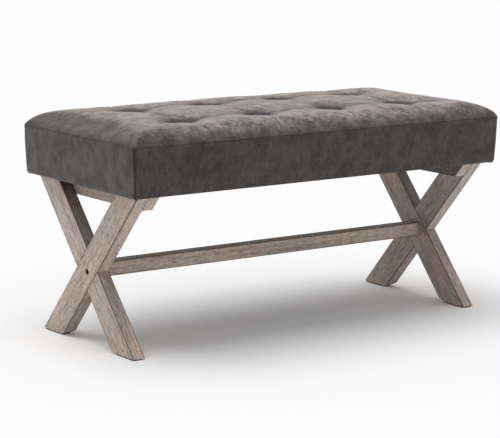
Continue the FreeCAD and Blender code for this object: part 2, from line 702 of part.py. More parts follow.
def top_rail(side, fasteners):
    """Rail along the heads of two legs, with its ends cut to the legs' slope."""
    outline = []
    for edge, z in ((-1, SEAT_UNDERSIDE), (1, SEAT_UNDERSIDE), (1, TOP_RAIL_BOTTOM), (-1, TOP_RAIL_BOTTOM)):
        outline.append(Vector(side * TOP_RAIL_X, edge * (leg_middle(z) + LEG_HALF_SPAN), z))
    rail = prism(outline, Vector(side * TOP_RAIL_THICKNESS, 0, 0))
    holes = []
    for x, y in rail_bolt_places():
        low = Vector(x, y, TOP_RAIL_BOTTOM)
        holes.append(rod(RECESS_RADIUS, low, Vector(x, y, rail_seat_z())))
        holes.append(rod(BOLT_HOLE, low, Vector(x, y, SEAT_UNDERSIDE)))
    return rail.cut(holes + fasteners)


def stretcher():
    """Bar between the crossings, bored for its bolts, nuts and dowels."""
    half = STRETCHER_THICKNESS / 2
    low = STRETCHER_MIDDLE - STRETCHER_HEIGHT / 2
    bar = box((-FRAME_INNER_FACE, FRAME_INNER_FACE), (-half, half), (low, low + STRETCHER_HEIGHT))
    bolt_end = FRAME_OUTER_FACE - LEG_RECESS_DEPTH + WASHER_THICKNESS - STRETCHER_BOLT_LENGTH - BOLT_CLEARANCE
    dowel_end = FRAME_INNER_FACE + DOWEL_IN_LEG - DOWEL_LENGTH
    nut_top = STRETCHER_BOLT_Z + BARREL_NUT_LENGTH / 2
    holes = []
    for side in (-1, 1):
        end = side * FRAME_INNER_FACE
        nut_x = side * barrel_nut_x()
        holes.append(rod(BOLT_HOLE, Vector(end, 0, STRETCHER_BOLT_Z),
                         Vector(side * bolt_end, 0, STRETCHER_BOLT_Z)))
        holes.append(rod(DOWEL_RADIUS + FIT_GAP, Vector(end, 0, STRETCHER_DOWEL_Z),
                         Vector(side * dowel_end, 0, STRETCHER_DOWEL_Z)))
        holes.append(rod(BARREL_NUT_RADIUS + FIT_GAP, Vector(nut_x, 0, low), Vector(nut_x, 0, nut_top)))
    return bar.cut(holes)


# Assembly

def seat_parts():
    """Every node of the seat by name."""
    hem_staples = cover_staples()
    dust_staples = dust_cover_staples()
    staples = hem_staples + dust_staples
    screws = frame_screws()
    deck_fixings = deck_screws()
    long_fixings = staples + screws + deck_fixings
    parts = {"cover_top_panel": cover_top_panel()}
    for name, edge in EDGES.items():
        parts["cover_" + name + "_boxing"] = boxing_panel(True, edge, staples)
        parts["seat_frame_" + name + "_rail"] = long_rail(edge, long_fixings)
    for name, side in SIDES.items():
        parts["cover_" + name + "_boxing"] = boxing_panel(False, side, staples)
        parts["seat_frame_" + name + "_rail"] = end_rail(side, long_fixings)
        parts[name + "_mounting_rail"] = mounting_rail(side, long_fixings)
    parts["seat_frame_centre_rail"] = centre_rail(long_fixings)
    parts["batting"] = batting()
    parts["foam_pad"] = foam_pad()
    parts["seat_deck"] = seat_deck()
    parts["dust_cover"] = dust_cover(dust_staples)
    for number, button in enumerate(at_tufts(tuft_button()), start=1):
        parts["tuft_button_" + str(number)] = button
    parts["tuft_twines"] = Part.makeCompound(tuft_twines())
    parts["tuft_anchors"] = Part.makeCompound(tuft_anchors())
    for side_name, side in SIDES.items():
        for edge_name, edge in EDGES.items():
            parts["corner_block_" + edge_name + "_" + side_name] = corner_block(side, edge)
    parts["cover_staples"] = Part.makeCompound(hem_staples)
    parts["dust_cover_staples"] = Part.makeCompound(dust_staples)
    parts["frame_screws"] = Part.makeCompound(screws)
    parts["deck_screws"] = Part.makeCompound(deck_fixings)
    return parts


def base_parts():
    """Every node of the X frames and the stretcher by name."""
    screws = leg_screws()
    parts = {"stretcher": stretcher()}
    for side_name, side in SIDES.items():
        parts[side_name + "_top_rail"] = top_rail(side, screws)
        for foot_name, foot in EDGES.items():
            parts[side_name + "_" + foot_name + "_foot_leg"] = leg(side, foot, screws)
            parts["foot_pad_" + foot_name + "_" + side_name] = foot_pad(side, foot)
    parts["leg_screws"] = Part.makeCompound(screws)
    parts["top_rail_bolts"] = Part.makeCompound(top_rail_bolts())
    parts["top_rail_washers"] = Part.makeCompound(top_rail_washers())
    parts["threaded_inserts"] = Part.makeCompound(threaded_inserts())
    parts["stretcher_bolts"] = Part.makeCompound(stretcher_bolts())
    parts["stretcher_washers"] = Part.makeCompound(stretcher_washers())
    parts["barrel_nuts"] = Part.makeCompound(barrel_nuts())
    parts["stretcher_dowels"] = Part.makeCompound(stretcher_dowels())
    return parts


os.makedirs("parts", exist_ok=True)
for node, shape in {**seat_parts(), **base_parts()}.items():
    shape.exportStep("parts/" + node + ".step")
    print(node, len(shape.Solids), "solids", round(shape.Volume), "mm3", "valid", shape.isValid())
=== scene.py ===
"""Looks of an upholstered bench: a tufted, boxed seat carried by two crossed-leg frames.

Lengths are in metres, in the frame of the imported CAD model: X runs along the seat, the front
is at -Y, Z is up, and the origin is on the floor under the middle of the bench.
"""

import logging
import math
from dataclasses import dataclass, field
from enum import Enum

import bmesh
import bpy
import numpy as np
from mathutils import Matrix, Vector


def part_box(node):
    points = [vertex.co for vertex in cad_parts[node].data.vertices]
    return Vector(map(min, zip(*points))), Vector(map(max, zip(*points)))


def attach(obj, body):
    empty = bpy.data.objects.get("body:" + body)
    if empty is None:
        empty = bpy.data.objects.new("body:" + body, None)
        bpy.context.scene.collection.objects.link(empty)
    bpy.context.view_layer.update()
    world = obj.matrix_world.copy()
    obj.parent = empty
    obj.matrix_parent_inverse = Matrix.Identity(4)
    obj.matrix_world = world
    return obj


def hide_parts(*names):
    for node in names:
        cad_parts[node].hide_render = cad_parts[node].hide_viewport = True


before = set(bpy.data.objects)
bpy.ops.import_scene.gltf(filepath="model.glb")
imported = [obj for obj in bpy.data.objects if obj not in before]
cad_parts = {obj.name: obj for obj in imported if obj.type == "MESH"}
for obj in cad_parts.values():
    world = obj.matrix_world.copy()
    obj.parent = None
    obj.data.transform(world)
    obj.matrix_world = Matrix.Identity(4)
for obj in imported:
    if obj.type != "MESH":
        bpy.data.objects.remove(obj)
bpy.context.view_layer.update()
MM = 0.001
TURN = 2 * math.pi
LOG = logging.getLogger("bench")


def linear(red: float, green: float, blue: float) -> tuple[float, float, float, float]:
    """Scene-linear colour of a screen colour given from 0 to 255.

    Args:
        red, green, blue: the screen colour's channels.

    Returns:
        The colour with an alpha of 1.
    """
    channels = []
    for value in (red / 255, green / 255, blue / 255):
        channels.append(value / 12.92 if value <= 0.04045 else ((value + 0.055) / 1.055) ** 2.4)
    return (*channels, 1.0)


# Meshes


def add_piece(name: str, verts: np.ndarray, faces: list, smooth: bool = True) -> bpy.types.Object:
    """Make a mesh object with its place in its vertices.

    Args:
        name: the piece's name.
        verts: points, one row each.
        faces: vertex indices of each face.
        smooth: whether its faces are shaded smooth.

    Returns:
        The new object, linked to the scene.
    """
    mesh = bpy.data.meshes.new(name)
    mesh.from_pydata([tuple(v) for v in np.asarray(verts, float)], [], [tuple(f) for f in faces])
    mesh.validate()
    for polygon in mesh.polygons:
        polygon.use_smooth = smooth
    piece = bpy.data.objects.new(name, mesh)
    bpy.context.scene.collection.objects.link(piece)
    return piece


def paint(piece: bpy.types.Object, name: str, values: np.ndarray) -> None:
    """Store numbers or vectors on a piece's points for its finish to read.

    Args:
        piece: the mesh object.
        name: the attribute's name.
        values: one number or one vector for each point.
    """
    values = np.asarray(values, np.float32)
    vector = values.ndim == 2
    attribute = piece.data.attributes.new(name, "FLOAT_VECTOR" if vector else "FLOAT", "POINT")
    attribute.data.foreach_set("vector" if vector else "value", values.ravel())


def finish_piece(piece: bpy.types.Object, material: bpy.types.Material, slot: str,
                 *nodes: str) -> None:
    """Dress a piece, tie it to the bench and hide the CAD nodes that it stands for.

    Args:
        piece: the finished mesh object.
        material: its finish.
        slot: not used.
        nodes: the CAD nodes that it replaces.
    """
    piece.data.materials.clear()
    piece.data.materials.append(material)
    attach(piece, "root")
    if nodes:
        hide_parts(*nodes)
    LOG.info("%s: %d points", piece.name, len(piece.data.vertices))


def grid_faces(rows: int, columns: int) -> list:
    """Quads between the points of a grid that is stored row by row, facing up where rows run
    along X and columns along Y.

    Args:
        rows, columns: the grid's size in points.

    Returns:
        Point indices of each face.
    """
    faces = []
    for i in range(rows - 1):
        for j in range(columns - 1):
            a = i * columns + j
            faces.append((a, a + columns, a + columns + 1, a + 1))
    return faces


def rim(rows: int, columns: int) -> list:
    """Point indices round the border of such a grid, anticlockwise seen from above.

    Args:
        rows, columns: the grid's size in points.

    Returns:
        The indices, each once.
    """
    loop = [(i, 0) for i in range(rows)] + [(rows - 1, j) for j in range(1, columns)]
    loop += [(i, columns - 1) for i in range(rows - 2, -1, -1)]
    loop += [(0, j) for j in range(columns - 2, 0, -1)]
    return [i * columns + j for i, j in loop]


def band_faces(upper: list, lower: list) -> list:
    """Quads between two closed rings of points, facing out where the rings run anticlockwise."""
    size = len(upper)
    return [(upper[(k + 1) % size], upper[k], lower[k], lower[(k + 1) % size]) for k in range(size)]


def evaluated_copy(piece: bpy.types.Object, name: str) -> bpy.types.Object:
    """Plain mesh object with a piece's modifiers applied; the piece itself is removed.

    Args:
        piece: the object to copy.
        name: the copy's name.

    Returns:
        The copy, linked to the scene.
    """
    graph = bpy.context.evaluated_depsgraph_get()
    mesh = bpy.data.meshes.new_from_object(piece.evaluated_get(graph))
    bpy.data.objects.remove(piece)
    mesh.name = name
    made = bpy.data.objects.new(name, mesh)
    bpy.context.scene.collection.objects.link(made)
    return made


def ripple(u: np.ndarray, v: np.ndarray, size: float, seed: int) -> np.ndarray:
    """Smooth irregular waves of about unit height.

    Args:
        u, v: places on the surface.
        size: rough length of a wave.
        seed: fixes the pattern.

    Returns:
        The height of the waves at each place.
    """
    rng = np.random.default_rng(seed)
    total = np.zeros(np.broadcast(u, v).shape)
    for _ in range(9):
        heading = rng.uniform(0, TURN)
        pace = TURN / (size * rng.uniform(0.6, 1.7))
        start = rng.uniform(0, TURN)
        total += np.sin(pace * (u * math.cos(heading) + v * math.sin(heading)) + start)
    return total / 3


def smooth_min(a: np.ndarray, b: np.ndarray, reach: np.ndarray) -> np.ndarray:
    """Smaller of two heights, rounded over reach where they meet."""
    share = np.clip(0.5 + 0.5 * (b - a) / reach, 0, 1)
    return b * (1 - share) + a * share - reach * share * (1 - share)


# Node trees


class Nodes:
    """A node tree in the making, of any kind."""

    def __init__(self, tree: bpy.types.NodeTree) -> None:
        """Work on a tree."""
        self.tree = tree

    def add(self, kind: str, **settings: object) -> bpy.types.Node:
        """Add a node.

        Args:
            kind: the node's type.
            settings: its properties.

        Returns:
            The node.
        """
        node = self.tree.nodes.new(kind)
        for key, value in settings.items():
            setattr(node, key, value)
        return node

    def join(self, source: object, target: bpy.types.NodeSocket) -> None:
        """Link a socket to another, or set it to a value.

        Args:
            source: a socket or a value.
            target: the input that takes it.
        """
        if isinstance(source, bpy.types.NodeSocket):
            self.tree.links.new(source, target)
        else:
            target.default_value = source

    def feed(self, node: bpy.types.Node, **inputs: object) -> bpy.types.Node:
        """Join to a node's inputs by name, with underscores for spaces, and give it back.

        Args:
            node: the node.
            inputs: what each input takes, a socket or a value.

        Returns:
            The node.
        """
        for key, value in inputs.items():
            self.join(value, node.inputs[key.replace("_", " ")])
        return node

    def calc(self, operation: str, *values: object) -> bpy.types.NodeSocket:
        """Arithmetic on sockets or numbers.

        Args:
            operation: the kind of arithmetic.
            values: what it takes, in order.

        Returns:
            The result.
        """
        node = self.add("ShaderNodeMath", operation=operation)
        for value, socket in zip(values, node.inputs):
            self.join(value, socket)
        return node.outputs[0]

    def vector(self, x: object, y: object, z: object) -> bpy.types.NodeSocket:
        """Vector of three sockets or numbers."""
        return self.feed(self.add("ShaderNodeCombineXYZ"), X=x, Y=y, Z=z).outputs[0]


# Finishes


class Graph(Nodes):
    """A node material in the making."""

    def __init__(self, name: str) -> None:
        """Start an empty material with a Principled surface.

        Args:
            name: the material's name.
        """
        self.material = bpy.data.materials.new(name)
        self.material.use_nodes = True
        super().__init__(self.material.node_tree)
        self.tree.nodes.clear()
        self.surface = self.add("ShaderNodeBsdfPrincipled")
        self.feed(self.add("ShaderNodeOutputMaterial"), Surface=self.surface.outputs[0])

    def place(self) -> bpy.types.NodeSocket:
        """Object coordinates."""
        return self.add("ShaderNodeTexCoord").outputs["Object"]

    def attribute(self, name: str, output: str = "Fac") -> bpy.types.NodeSocket:
        """A piece's own attribute."""
        return self.add("ShaderNodeAttribute", attribute_name=name).outputs[output]

    def parts(self, vector: bpy.types.NodeSocket) -> tuple:
        """The three parts of a vector."""
        return tuple(self.feed(self.add("ShaderNodeSeparateXYZ"), Vector=vector).outputs)

    def axes(self, operation: str, vector: bpy.types.NodeSocket,
             other: object) -> bpy.types.NodeSocket:
        """Arithmetic on a vector, axis by axis.

        Args:
            operation: the kind of arithmetic.
            vector: the first vector.
            other: the second vector, as a socket or three numbers.

        Returns:
            The resulting vector.
        """
        node = self.add("ShaderNodeVectorMath", operation=operation)
        self.join(vector, node.inputs[0])
        self.join(other, node.inputs[1])
        return node.outputs[0]

    def noise(self, vector: bpy.types.NodeSocket, scale: float, detail: float = 2.0,
              roughness: float = 0.5, distortion: float = 0.0) -> bpy.types.NodeSocket:
        """Height of a noise pattern, about 0.5 on average."""
        node = self.add("ShaderNodeTexNoise")
        return self.feed(node, Vector=vector, Scale=scale, Detail=detail, Roughness=roughness,
                         Distortion=distortion).outputs[0]

    def cells(self, vector: bpy.types.NodeSocket, scale: float) -> bpy.types.NodeSocket:
        """Distance to the nearest point of a cell pattern."""
        node = self.add("ShaderNodeTexVoronoi", feature="SMOOTH_F1")
        return self.feed(node, Vector=vector, Scale=scale).outputs["Distance"]

    def ranged(self, value: bpy.types.NodeSocket, low: float, high: float, start: float = 0.0,
               end: float = 1.0) -> bpy.types.NodeSocket:
        """A value moved smoothly from low..high to start..end, and held outside."""
        node = self.add("ShaderNodeMapRange", interpolation_type="SMOOTHSTEP")
        return self.feed(node, Value=value, From_Min=low, From_Max=high, To_Min=start,
                         To_Max=end).outputs[0]

    def total(self, *shares: tuple[bpy.types.NodeSocket, float]) -> bpy.types.NodeSocket:
        """Sum of sockets, each times its own number.

        Args:
            shares: each socket with its number.

        Returns:
            The sum.
        """
        parts = [self.calc("MULTIPLY", value, share) for value, share in shares]
        whole = parts[0]
        for part in parts[1:]:
            whole = self.calc("ADD", whole, part)
        return whole

    def mix(self, factor: bpy.types.NodeSocket, a: object, b: object) -> bpy.types.NodeSocket:
        """Colour or socket b laid over a by a factor.

        Args:
            factor: how much of b shows.
            a, b: the two colours.

        Returns:
            The combined colour.
        """
        node = self.add("ShaderNodeMix", data_type="RGBA")
        for number, value in ((0, factor), (6, a), (7, b)):
            self.join(value, node.inputs[number])
        return node.outputs[2]

    def bump(self, height: bpy.types.NodeSocket, distance: float, strength: float,
             **under: bpy.types.NodeSocket) -> bpy.types.NodeSocket:
        """Normal of a relief of that height in metres, on top of another relief's Normal."""
        node = self.add("ShaderNodeBump")
        return self.feed(node, Height=height, Distance=distance, Strength=strength,
                         **under).outputs[0]


@dataclass(frozen=True)
class FauxLeather:
    """Distressed, suede-like coated cloth: mottled, paler on its highs and darker in its creases.

    It reads two attributes of a piece: relief, from -1 in a crease to 1 on a high, painting shade
    in creases and hollows and, with wear, a highlight on the highs;
    and the share of pale coat that shows, part wear and part painted light: high on the crown, low
    on the walls.
    """

    name: str = "distressed_faux_leather"
    deep: tuple = (24, 18, 17)
    body: tuple = (44, 37, 35)
    # pale coat colour, shown as wear and as painted highlight on the crown
    pale: tuple = (163, 156, 150)
    # colour of the painted shade in creases and tuft hollows
    crease: tuple = (20, 17, 16)
    cloud_scale: float = 11.0
    smudge_scale: float = 36.0
    streak_scale: tuple = (60.0, 60.0, 13.0)
    rub_scale: tuple = (120.0, 210.0, 90.0)
    grain: float = 900.0
    grain_depth: float = 0.00012
    smudge_depth: float = 0.0012

    def material(self) -> bpy.types.Material:
        """Build the finish.

        Returns:
            The node material.
        """
        graph = Graph(self.name)
        place = graph.place()
        clouds = graph.noise(place, self.cloud_scale, 3.0, 0.55, 0.4)
        smudges = graph.noise(place, self.smudge_scale, 6.0, 0.66, 0.35)
        streaks = graph.noise(graph.axes("MULTIPLY", place, self.streak_scale), 1.0, 4.0, 0.6, 0.6)
        rub = graph.noise(graph.axes("MULTIPLY", place, self.rub_scale), 1.0, 4.0, 0.72, 0.9)
        relief = graph.attribute("relief")
        tone = graph.total((clouds, 0.42), (smudges, 0.36), (streaks, 0.22))
        colour = graph.mix(graph.ranged(tone, 0.38, 0.62), linear(*self.deep), linear(*self.body))
        # Paler patches: smudge and rub noise for wear, plus a painted highlight on the highs of the
        # relief; the painted-light share then scales them, lighter on the crown and darker on walls
        # and in hollows.
        scuffs_and_highlights = graph.total((graph.ranged(smudges, 0.41, 0.61), 0.42),
                             (graph.ranged(rub, 0.43, 0.63), 0.36),
                             (graph.ranged(relief, -0.4, 0.6), 0.34))
        worn = graph.calc("MULTIPLY", scuffs_and_highlights, graph.attribute("wear_and_light_share"))
        worn = graph.calc("MINIMUM", worn, 1.0)
        colour = graph.mix(worn, colour, linear(*self.pale))
        # Painted shade: creases and hollows darkened toward the crease colour.
        painted_crease_shade = graph.ranged(relief, -1.0, -0.05, 0.8, 0.0)
        colour = graph.mix(painted_crease_shade, colour, linear(*self.crease))
        pebble = graph.cells(place, self.grain)
        fine = graph.noise(place, self.grain * 2.6, 2.0)
        normal = graph.bump(graph.calc("ADD", pebble, fine), self.grain_depth, 0.35)
        normal = graph.bump(smudges, self.smudge_depth, 0.22, Normal=normal)
        rough = graph.ranged(worn, 0.0, 1.0, 0.5, 0.66)
        graph.feed(graph.surface, Base_Color=colour, Roughness=rough, Normal=normal,
                   Specular_IOR_Level=0.36, Sheen_Weight=0.08, Sheen_Roughness=0.4)
        return graph.material


@dataclass(frozen=True)
class WashedOak:
    """Open-grained hardwood with a grey-brown wash, dark along its worn edges.

    It reads three attributes of a bar: grain, the place along, across and through it; section,
    its half width, half thickness and a number of its own; and painted shade, how far a face is
    darkened to stand in for the seat's shade.
    """

    name: str = "washed_oak"
    warm: tuple = (210, 188, 174)
    cool: tuple = (192, 182, 173)
    brown: tuple = (112, 91, 81)
    wash: tuple = (226, 213, 204)
    pore: tuple = (62, 49, 43)
    worn: tuple = (74, 58, 51)
    # colour of the painted shade on faces under the seat
    shade_colour: tuple = (40, 31, 27)
    cloud_scale: tuple = (9.0, 30.0, 30.0)
    band_scale: tuple = (7.0, 190.0, 190.0)
    fleck_scale: tuple = (55.0, 420.0, 420.0)
    pore_scale: tuple = (85.0, 1500.0, 1500.0)
    worn_from: float = 0.0002
    worn_to: float = 0.0030
    ragged: float = 0.004
    pore_depth: float = 0.0003
    fleck_depth: float = 0.0006

    def material(self) -> bpy.types.Material:
        """Build the finish.

        Returns:
            The node material.
        """
        graph = Graph(self.name)
        grain = graph.attribute("grain", "Vector")
        half_width, half_thickness, own = graph.parts(graph.attribute("section", "Vector"))
        _, across, through = graph.parts(grain)
        board = graph.axes("ADD", grain, graph.vector(own, own, own))
        clouds, bands, flecks, pores = (
            graph.noise(graph.axes("MULTIPLY", board, scale), 1.0, *rest) for scale, *rest in (
                (self.cloud_scale, 3.0, 0.6, 0.5), (self.band_scale, 4.0, 0.65, 0.35),
                (self.fleck_scale, 3.0, 0.7, 0.2), (self.pore_scale, 2.0, 0.5)))
        brown = linear(*self.brown)
        colour = graph.mix(graph.ranged(clouds, 0.36, 0.64), linear(*self.cool), linear(*self.warm))
        colour = graph.mix(graph.ranged(bands, 0.46, 0.7, 0.0, 0.5), colour, brown)
        colour = graph.mix(graph.ranged(flecks, 0.48, 0.7, 0.0, 0.75), colour, brown)
        colour = graph.mix(graph.ranged(flecks, 0.26, 0.47, 0.65, 0.0), colour, linear(*self.wash))
        porous = graph.ranged(pores, 0.56, 0.66)
        colour = graph.mix(graph.calc("MULTIPLY", porous, 0.6), colour, linear(*self.pore))
        insets = [graph.calc("SUBTRACT", half, graph.calc("ABSOLUTE", axis))
                  for half, axis in ((half_width, across), (half_thickness, through))]
        frayed = graph.calc("MULTIPLY", graph.calc("SUBTRACT", flecks, 0.5), self.ragged)
        inset = graph.calc("ADD", graph.calc("MAXIMUM", *insets), frayed)
        edge = graph.ranged(inset, self.worn_from, self.worn_to, 0.85, 0.0)
        colour = graph.mix(edge, colour, linear(*self.worn))
        # Painted shade: faces under the seat darkened toward the shade colour, a little less on the
        # grain's bands.
        painted_shade_amount = graph.calc("MULTIPLY", graph.attribute("painted_shade"),
                           graph.ranged(bands, 0.2, 0.7, 1.0, 0.75))
        colour = graph.mix(painted_shade_amount, colour, linear(*self.shade_colour))
        normal = graph.bump(graph.calc("MULTIPLY", porous, -1.0), self.pore_depth, 0.7)
        normal = graph.bump(flecks, self.fleck_depth, 0.35, Normal=normal)
        rough = graph.ranged(bands, 0.3, 0.7, 0.72, 0.58)
        graph.feed(graph.surface, Base_Color=colour, Roughness=rough, Normal=normal,
                   Specular_IOR_Level=0.3)
        return graph.material


class Timber(Enum):
    """Bare timbers of the hidden frame: pale colour, dark colour, bands per metre."""

    PINE = ((206, 172, 124), (168, 124, 78), 130.0)
    PLYWOOD = ((200, 168, 126), (172, 136, 96), 60.0)
    BEECH = ((204, 162, 124), (178, 132, 96), 240.0)


@dataclass(frozen=True)
class PlainTimber:
    """Unfinished timber with its grain along X or Y."""

    timber: Timber
    along_x: bool = True

    def material(self) -> bpy.types.Material:
        """Build the finish.

        Returns:
            The node material.
        """
        pale, dark, bands = self.timber.value
        graph = Graph(self.timber.name.lower() + ("_along" if self.along_x else "_across"))
        scale = (4.0, bands, bands) if self.along_x else (bands, 4.0, bands)
        board = graph.axes("MULTIPLY", graph.place(), scale)
        grain = graph.noise(board, 1.0, 4.0, 0.6, 0.4)
        fine = graph.noise(board, 7.0, 3.0, 0.6)
        colour = graph.mix(graph.ranged(grain, 0.4, 0.66), linear(*pale), linear(*dark))
        colour = graph.mix(graph.ranged(fine, 0.5, 0.75, 0.0, 0.4), colour, linear(*dark))
        normal = graph.bump(fine, 0.0003, 0.3)
        graph.feed(graph.surface, Base_Color=colour, Roughness=0.7, Normal=normal)
        return graph.material


@dataclass(frozen=True)
class Metal:
    """Steel or moulded plastic, lightly clouded and scratched."""

    name: str
    colour: tuple
    metallic: float
    roughness: float

    def material(self) -> bpy.types.Material:
        """Build the finish.

        Returns:
            The node material.
        """
        graph = Graph(self.name)
        place = graph.place()
        cloud = graph.noise(place, 260.0, 3.0, 0.6)
        scratch = graph.noise(graph.axes("MULTIPLY", place, (4000.0, 600.0, 600.0)), 1.0, 2.0)
        darker = tuple(0.62 * channel for channel in self.colour)
        colour = graph.mix(graph.ranged(cloud, 0.35, 0.7), linear(*self.colour), linear(*darker))
        rough = graph.ranged(scratch, 0.2, 0.8, self.roughness - 0.08, self.roughness + 0.1)
        graph.feed(graph.surface, Base_Color=colour, Metallic=self.metallic, Roughness=rough,
                   Normal=graph.bump(scratch, 0.00005, 0.3))
        return graph.material


@dataclass(frozen=True)
class Fibre:
    """Matted or spun fibres: felt, wadding, non-woven cloth, foam and twine."""

    name: str
    colour: tuple
    size: float
    depth: float
    sheen: float = 0.2

    def material(self) -> bpy.types.Material:
        """Build the finish.

        Returns:
            The node material.
        """
        graph = Graph(self.name)
        place = graph.place()
        threads = graph.noise(place, 1 / self.size, 4.0, 0.75, 1.6)
        cloud = graph.noise(place, 25.0, 3.0)
        darker = tuple(0.72 * channel for channel in self.colour)
        lighter = tuple(min(255.0, 1.14 * channel) for channel in self.colour)
        colour = graph.mix(graph.ranged(threads, 0.36, 0.64), linear(*darker), linear(*lighter))
        colour = graph.mix(graph.ranged(cloud, 0.4, 0.7, 0.0, 0.35), colour, linear(*darker))
        graph.feed(graph.surface, Base_Color=colour, Roughness=0.88, Specular_IOR_Level=0.2,
                   Sheen_Weight=self.sheen, Normal=graph.bump(threads, self.depth, 0.7))
        return graph.material


def made(finish: object) -> bpy.types.Material:
    """Dataclass field that is the finish's material, built when the table is."""
    return field(default_factory=finish.material)


@dataclass
class Finishes:
    """Every finish of the bench, made once."""

    leather: bpy.types.Material = made(FauxLeather())
    oak: bpy.types.Material = made(WashedOak())
    pine_along: bpy.types.Material = made(PlainTimber(Timber.PINE))
    pine_across: bpy.types.Material = made(PlainTimber(Timber.PINE, False))
    plywood: bpy.types.Material = made(PlainTimber(Timber.PLYWOOD))
    beech: bpy.types.Material = made(PlainTimber(Timber.BEECH))
    zinc: bpy.types.Material = made(Metal("zinc_steel", (186, 188, 190), 1.0, 0.34))
    bronzed: bpy.types.Material = made(Metal("bronzed_steel", (122, 104, 94), 0.4, 0.6))
    black: bpy.types.Material = made(Metal("black_steel", (34, 34, 36), 0.6, 0.42))
    felt: bpy.types.Material = made(Fibre("grey_felt", (58, 54, 52), 0.0009, 0.0004))
    wadding: bpy.types.Material = made(Fibre("white_wadding", (226, 224, 218), 0.002, 0.0008))
    foam: bpy.types.Material = made(Fibre("cream_foam", (222, 206, 160), 0.0012, 0.0005, 0.0))
    dust_cloth: bpy.types.Material = made(Fibre("black_non_woven", (36, 35, 36), 0.0014, 0.00025))
    twine: bpy.types.Material = made(Fibre("waxed_twine", (206, 190, 158), 0.0006, 0.0002))
    thread: bpy.types.Material = made(Fibre("sewing_thread", (62, 57, 55), 0.0003, 0.0001))
    plastic: bpy.types.Material = made(Metal("white_plastic", (210, 208, 202), 0.0, 0.5))


# Repeated pieces


class Pattern(Nodes):
    """A Geometry Nodes tree in the making; it takes a mesh and gives one plain mesh."""

    def __init__(self, name: str, **sizes: float) -> None:
        """Start a tree.

        Args:
            name: the tree's name.
            sizes: its named inputs with their values; a whole number makes an integer input.
        """
        super().__init__(bpy.data.node_groups.new(name, "GeometryNodeTree"))
        face = self.tree.interface
        face.new_socket("Guide", in_out="INPUT", socket_type="NodeSocketGeometry")
        face.new_socket("Finish", in_out="INPUT", socket_type="NodeSocketMaterial")
        for key, value in sizes.items():
            kind = "NodeSocketInt" if isinstance(value, int) else "NodeSocketFloat"
            face.new_socket(key, in_out="INPUT", socket_type=kind)
        face.new_socket("Result", in_out="OUTPUT", socket_type="NodeSocketGeometry")
        self.sizes = sizes
        self.inputs = self.add("NodeGroupInput").outputs

    def line(self, count: int) -> bpy.types.NodeSocket:
        """Mesh line of that many points."""
        return self.feed(self.add("GeometryNodeMeshLine"), Count=count).outputs[0]

    def index(self) -> bpy.types.NodeSocket:
        """Number of each point."""
        return self.add("GeometryNodeInputIndex").outputs[0]

    def curve(self, mesh: bpy.types.NodeSocket) -> bpy.types.NodeSocket:
        """Curve along a mesh's edges."""
        return self.feed(self.add("GeometryNodeMeshToCurve"), Mesh=mesh).outputs[0]

    def placed(self, geometry: bpy.types.NodeSocket, x: object, y: object,
               z: object) -> bpy.types.NodeSocket:
        """Geometry with its points put at new places."""
        node = self.add("GeometryNodeSetPosition")
        return self.feed(node, Geometry=geometry, Position=self.vector(x, y, z)).outputs[0]

    def swept(self, curve: bpy.types.NodeSocket,
              profile: bpy.types.NodeSocket) -> bpy.types.NodeSocket:
        """Closed tube of a profile along a curve."""
        node = self.add("GeometryNodeCurveToMesh")
        return self.feed(node, Curve=curve, Profile_Curve=profile, Fill_Caps=True).outputs[0]

    def circle(self, sides: int, **radius: bpy.types.NodeSocket) -> bpy.types.NodeSocket:
        """Circle of that many sides, of its Radius."""
        node = self.add("GeometryNodeCurvePrimitiveCircle")
        return self.feed(node, Resolution=sides, **radius).outputs["Curve"]

    def copied(self, points: bpy.types.NodeSocket, form: bpy.types.NodeSocket,
               turn: bpy.types.NodeSocket) -> bpy.types.NodeSocket:
        """A form repeated on every point, turned there."""
        node = self.add("GeometryNodeInstanceOnPoints")
        return self.feed(node, Points=points, Instance=form, Rotation=turn).outputs["Instances"]

    def finish(self, result: bpy.types.NodeSocket) -> None:
        """End the tree in real, dressed geometry.

        Args:
            result: the geometry to realize and dress.
        """
        real = self.feed(self.add("GeometryNodeRealizeInstances"), Geometry=result)
        dressed = self.feed(self.add("GeometryNodeSetMaterial"), Geometry=real.outputs[0],
                            Material=self.inputs["Finish"])
        self.join(dressed.outputs[0], self.add("NodeGroupOutput").inputs[0])

    def make(self, name: str, guide: bpy.types.Object,
             material: bpy.types.Material) -> bpy.types.Object:
        """Run the tree on a guide mesh and keep the result as a plain mesh.

        Args:
            name: the new piece's name.
            guide: mesh whose points or edges the tree reads; it is removed.
            material: finish of the result.

        Returns:
            The new piece.
        """
        modifier = guide.modifiers.new(self.tree.name, "NODES")
        modifier.node_group = self.tree
        values = {"Finish": material, **self.sizes}
        for item in self.tree.interface.items_tree:
            if item.in_out == "INPUT" and item.name in values:
                modifier[item.identifier] = values[item.name]
        piece = evaluated_copy(guide, name)
        LOG.info("%s: %d faces from %s", name, len(piece.data.polygons), self.tree.name)
        return piece


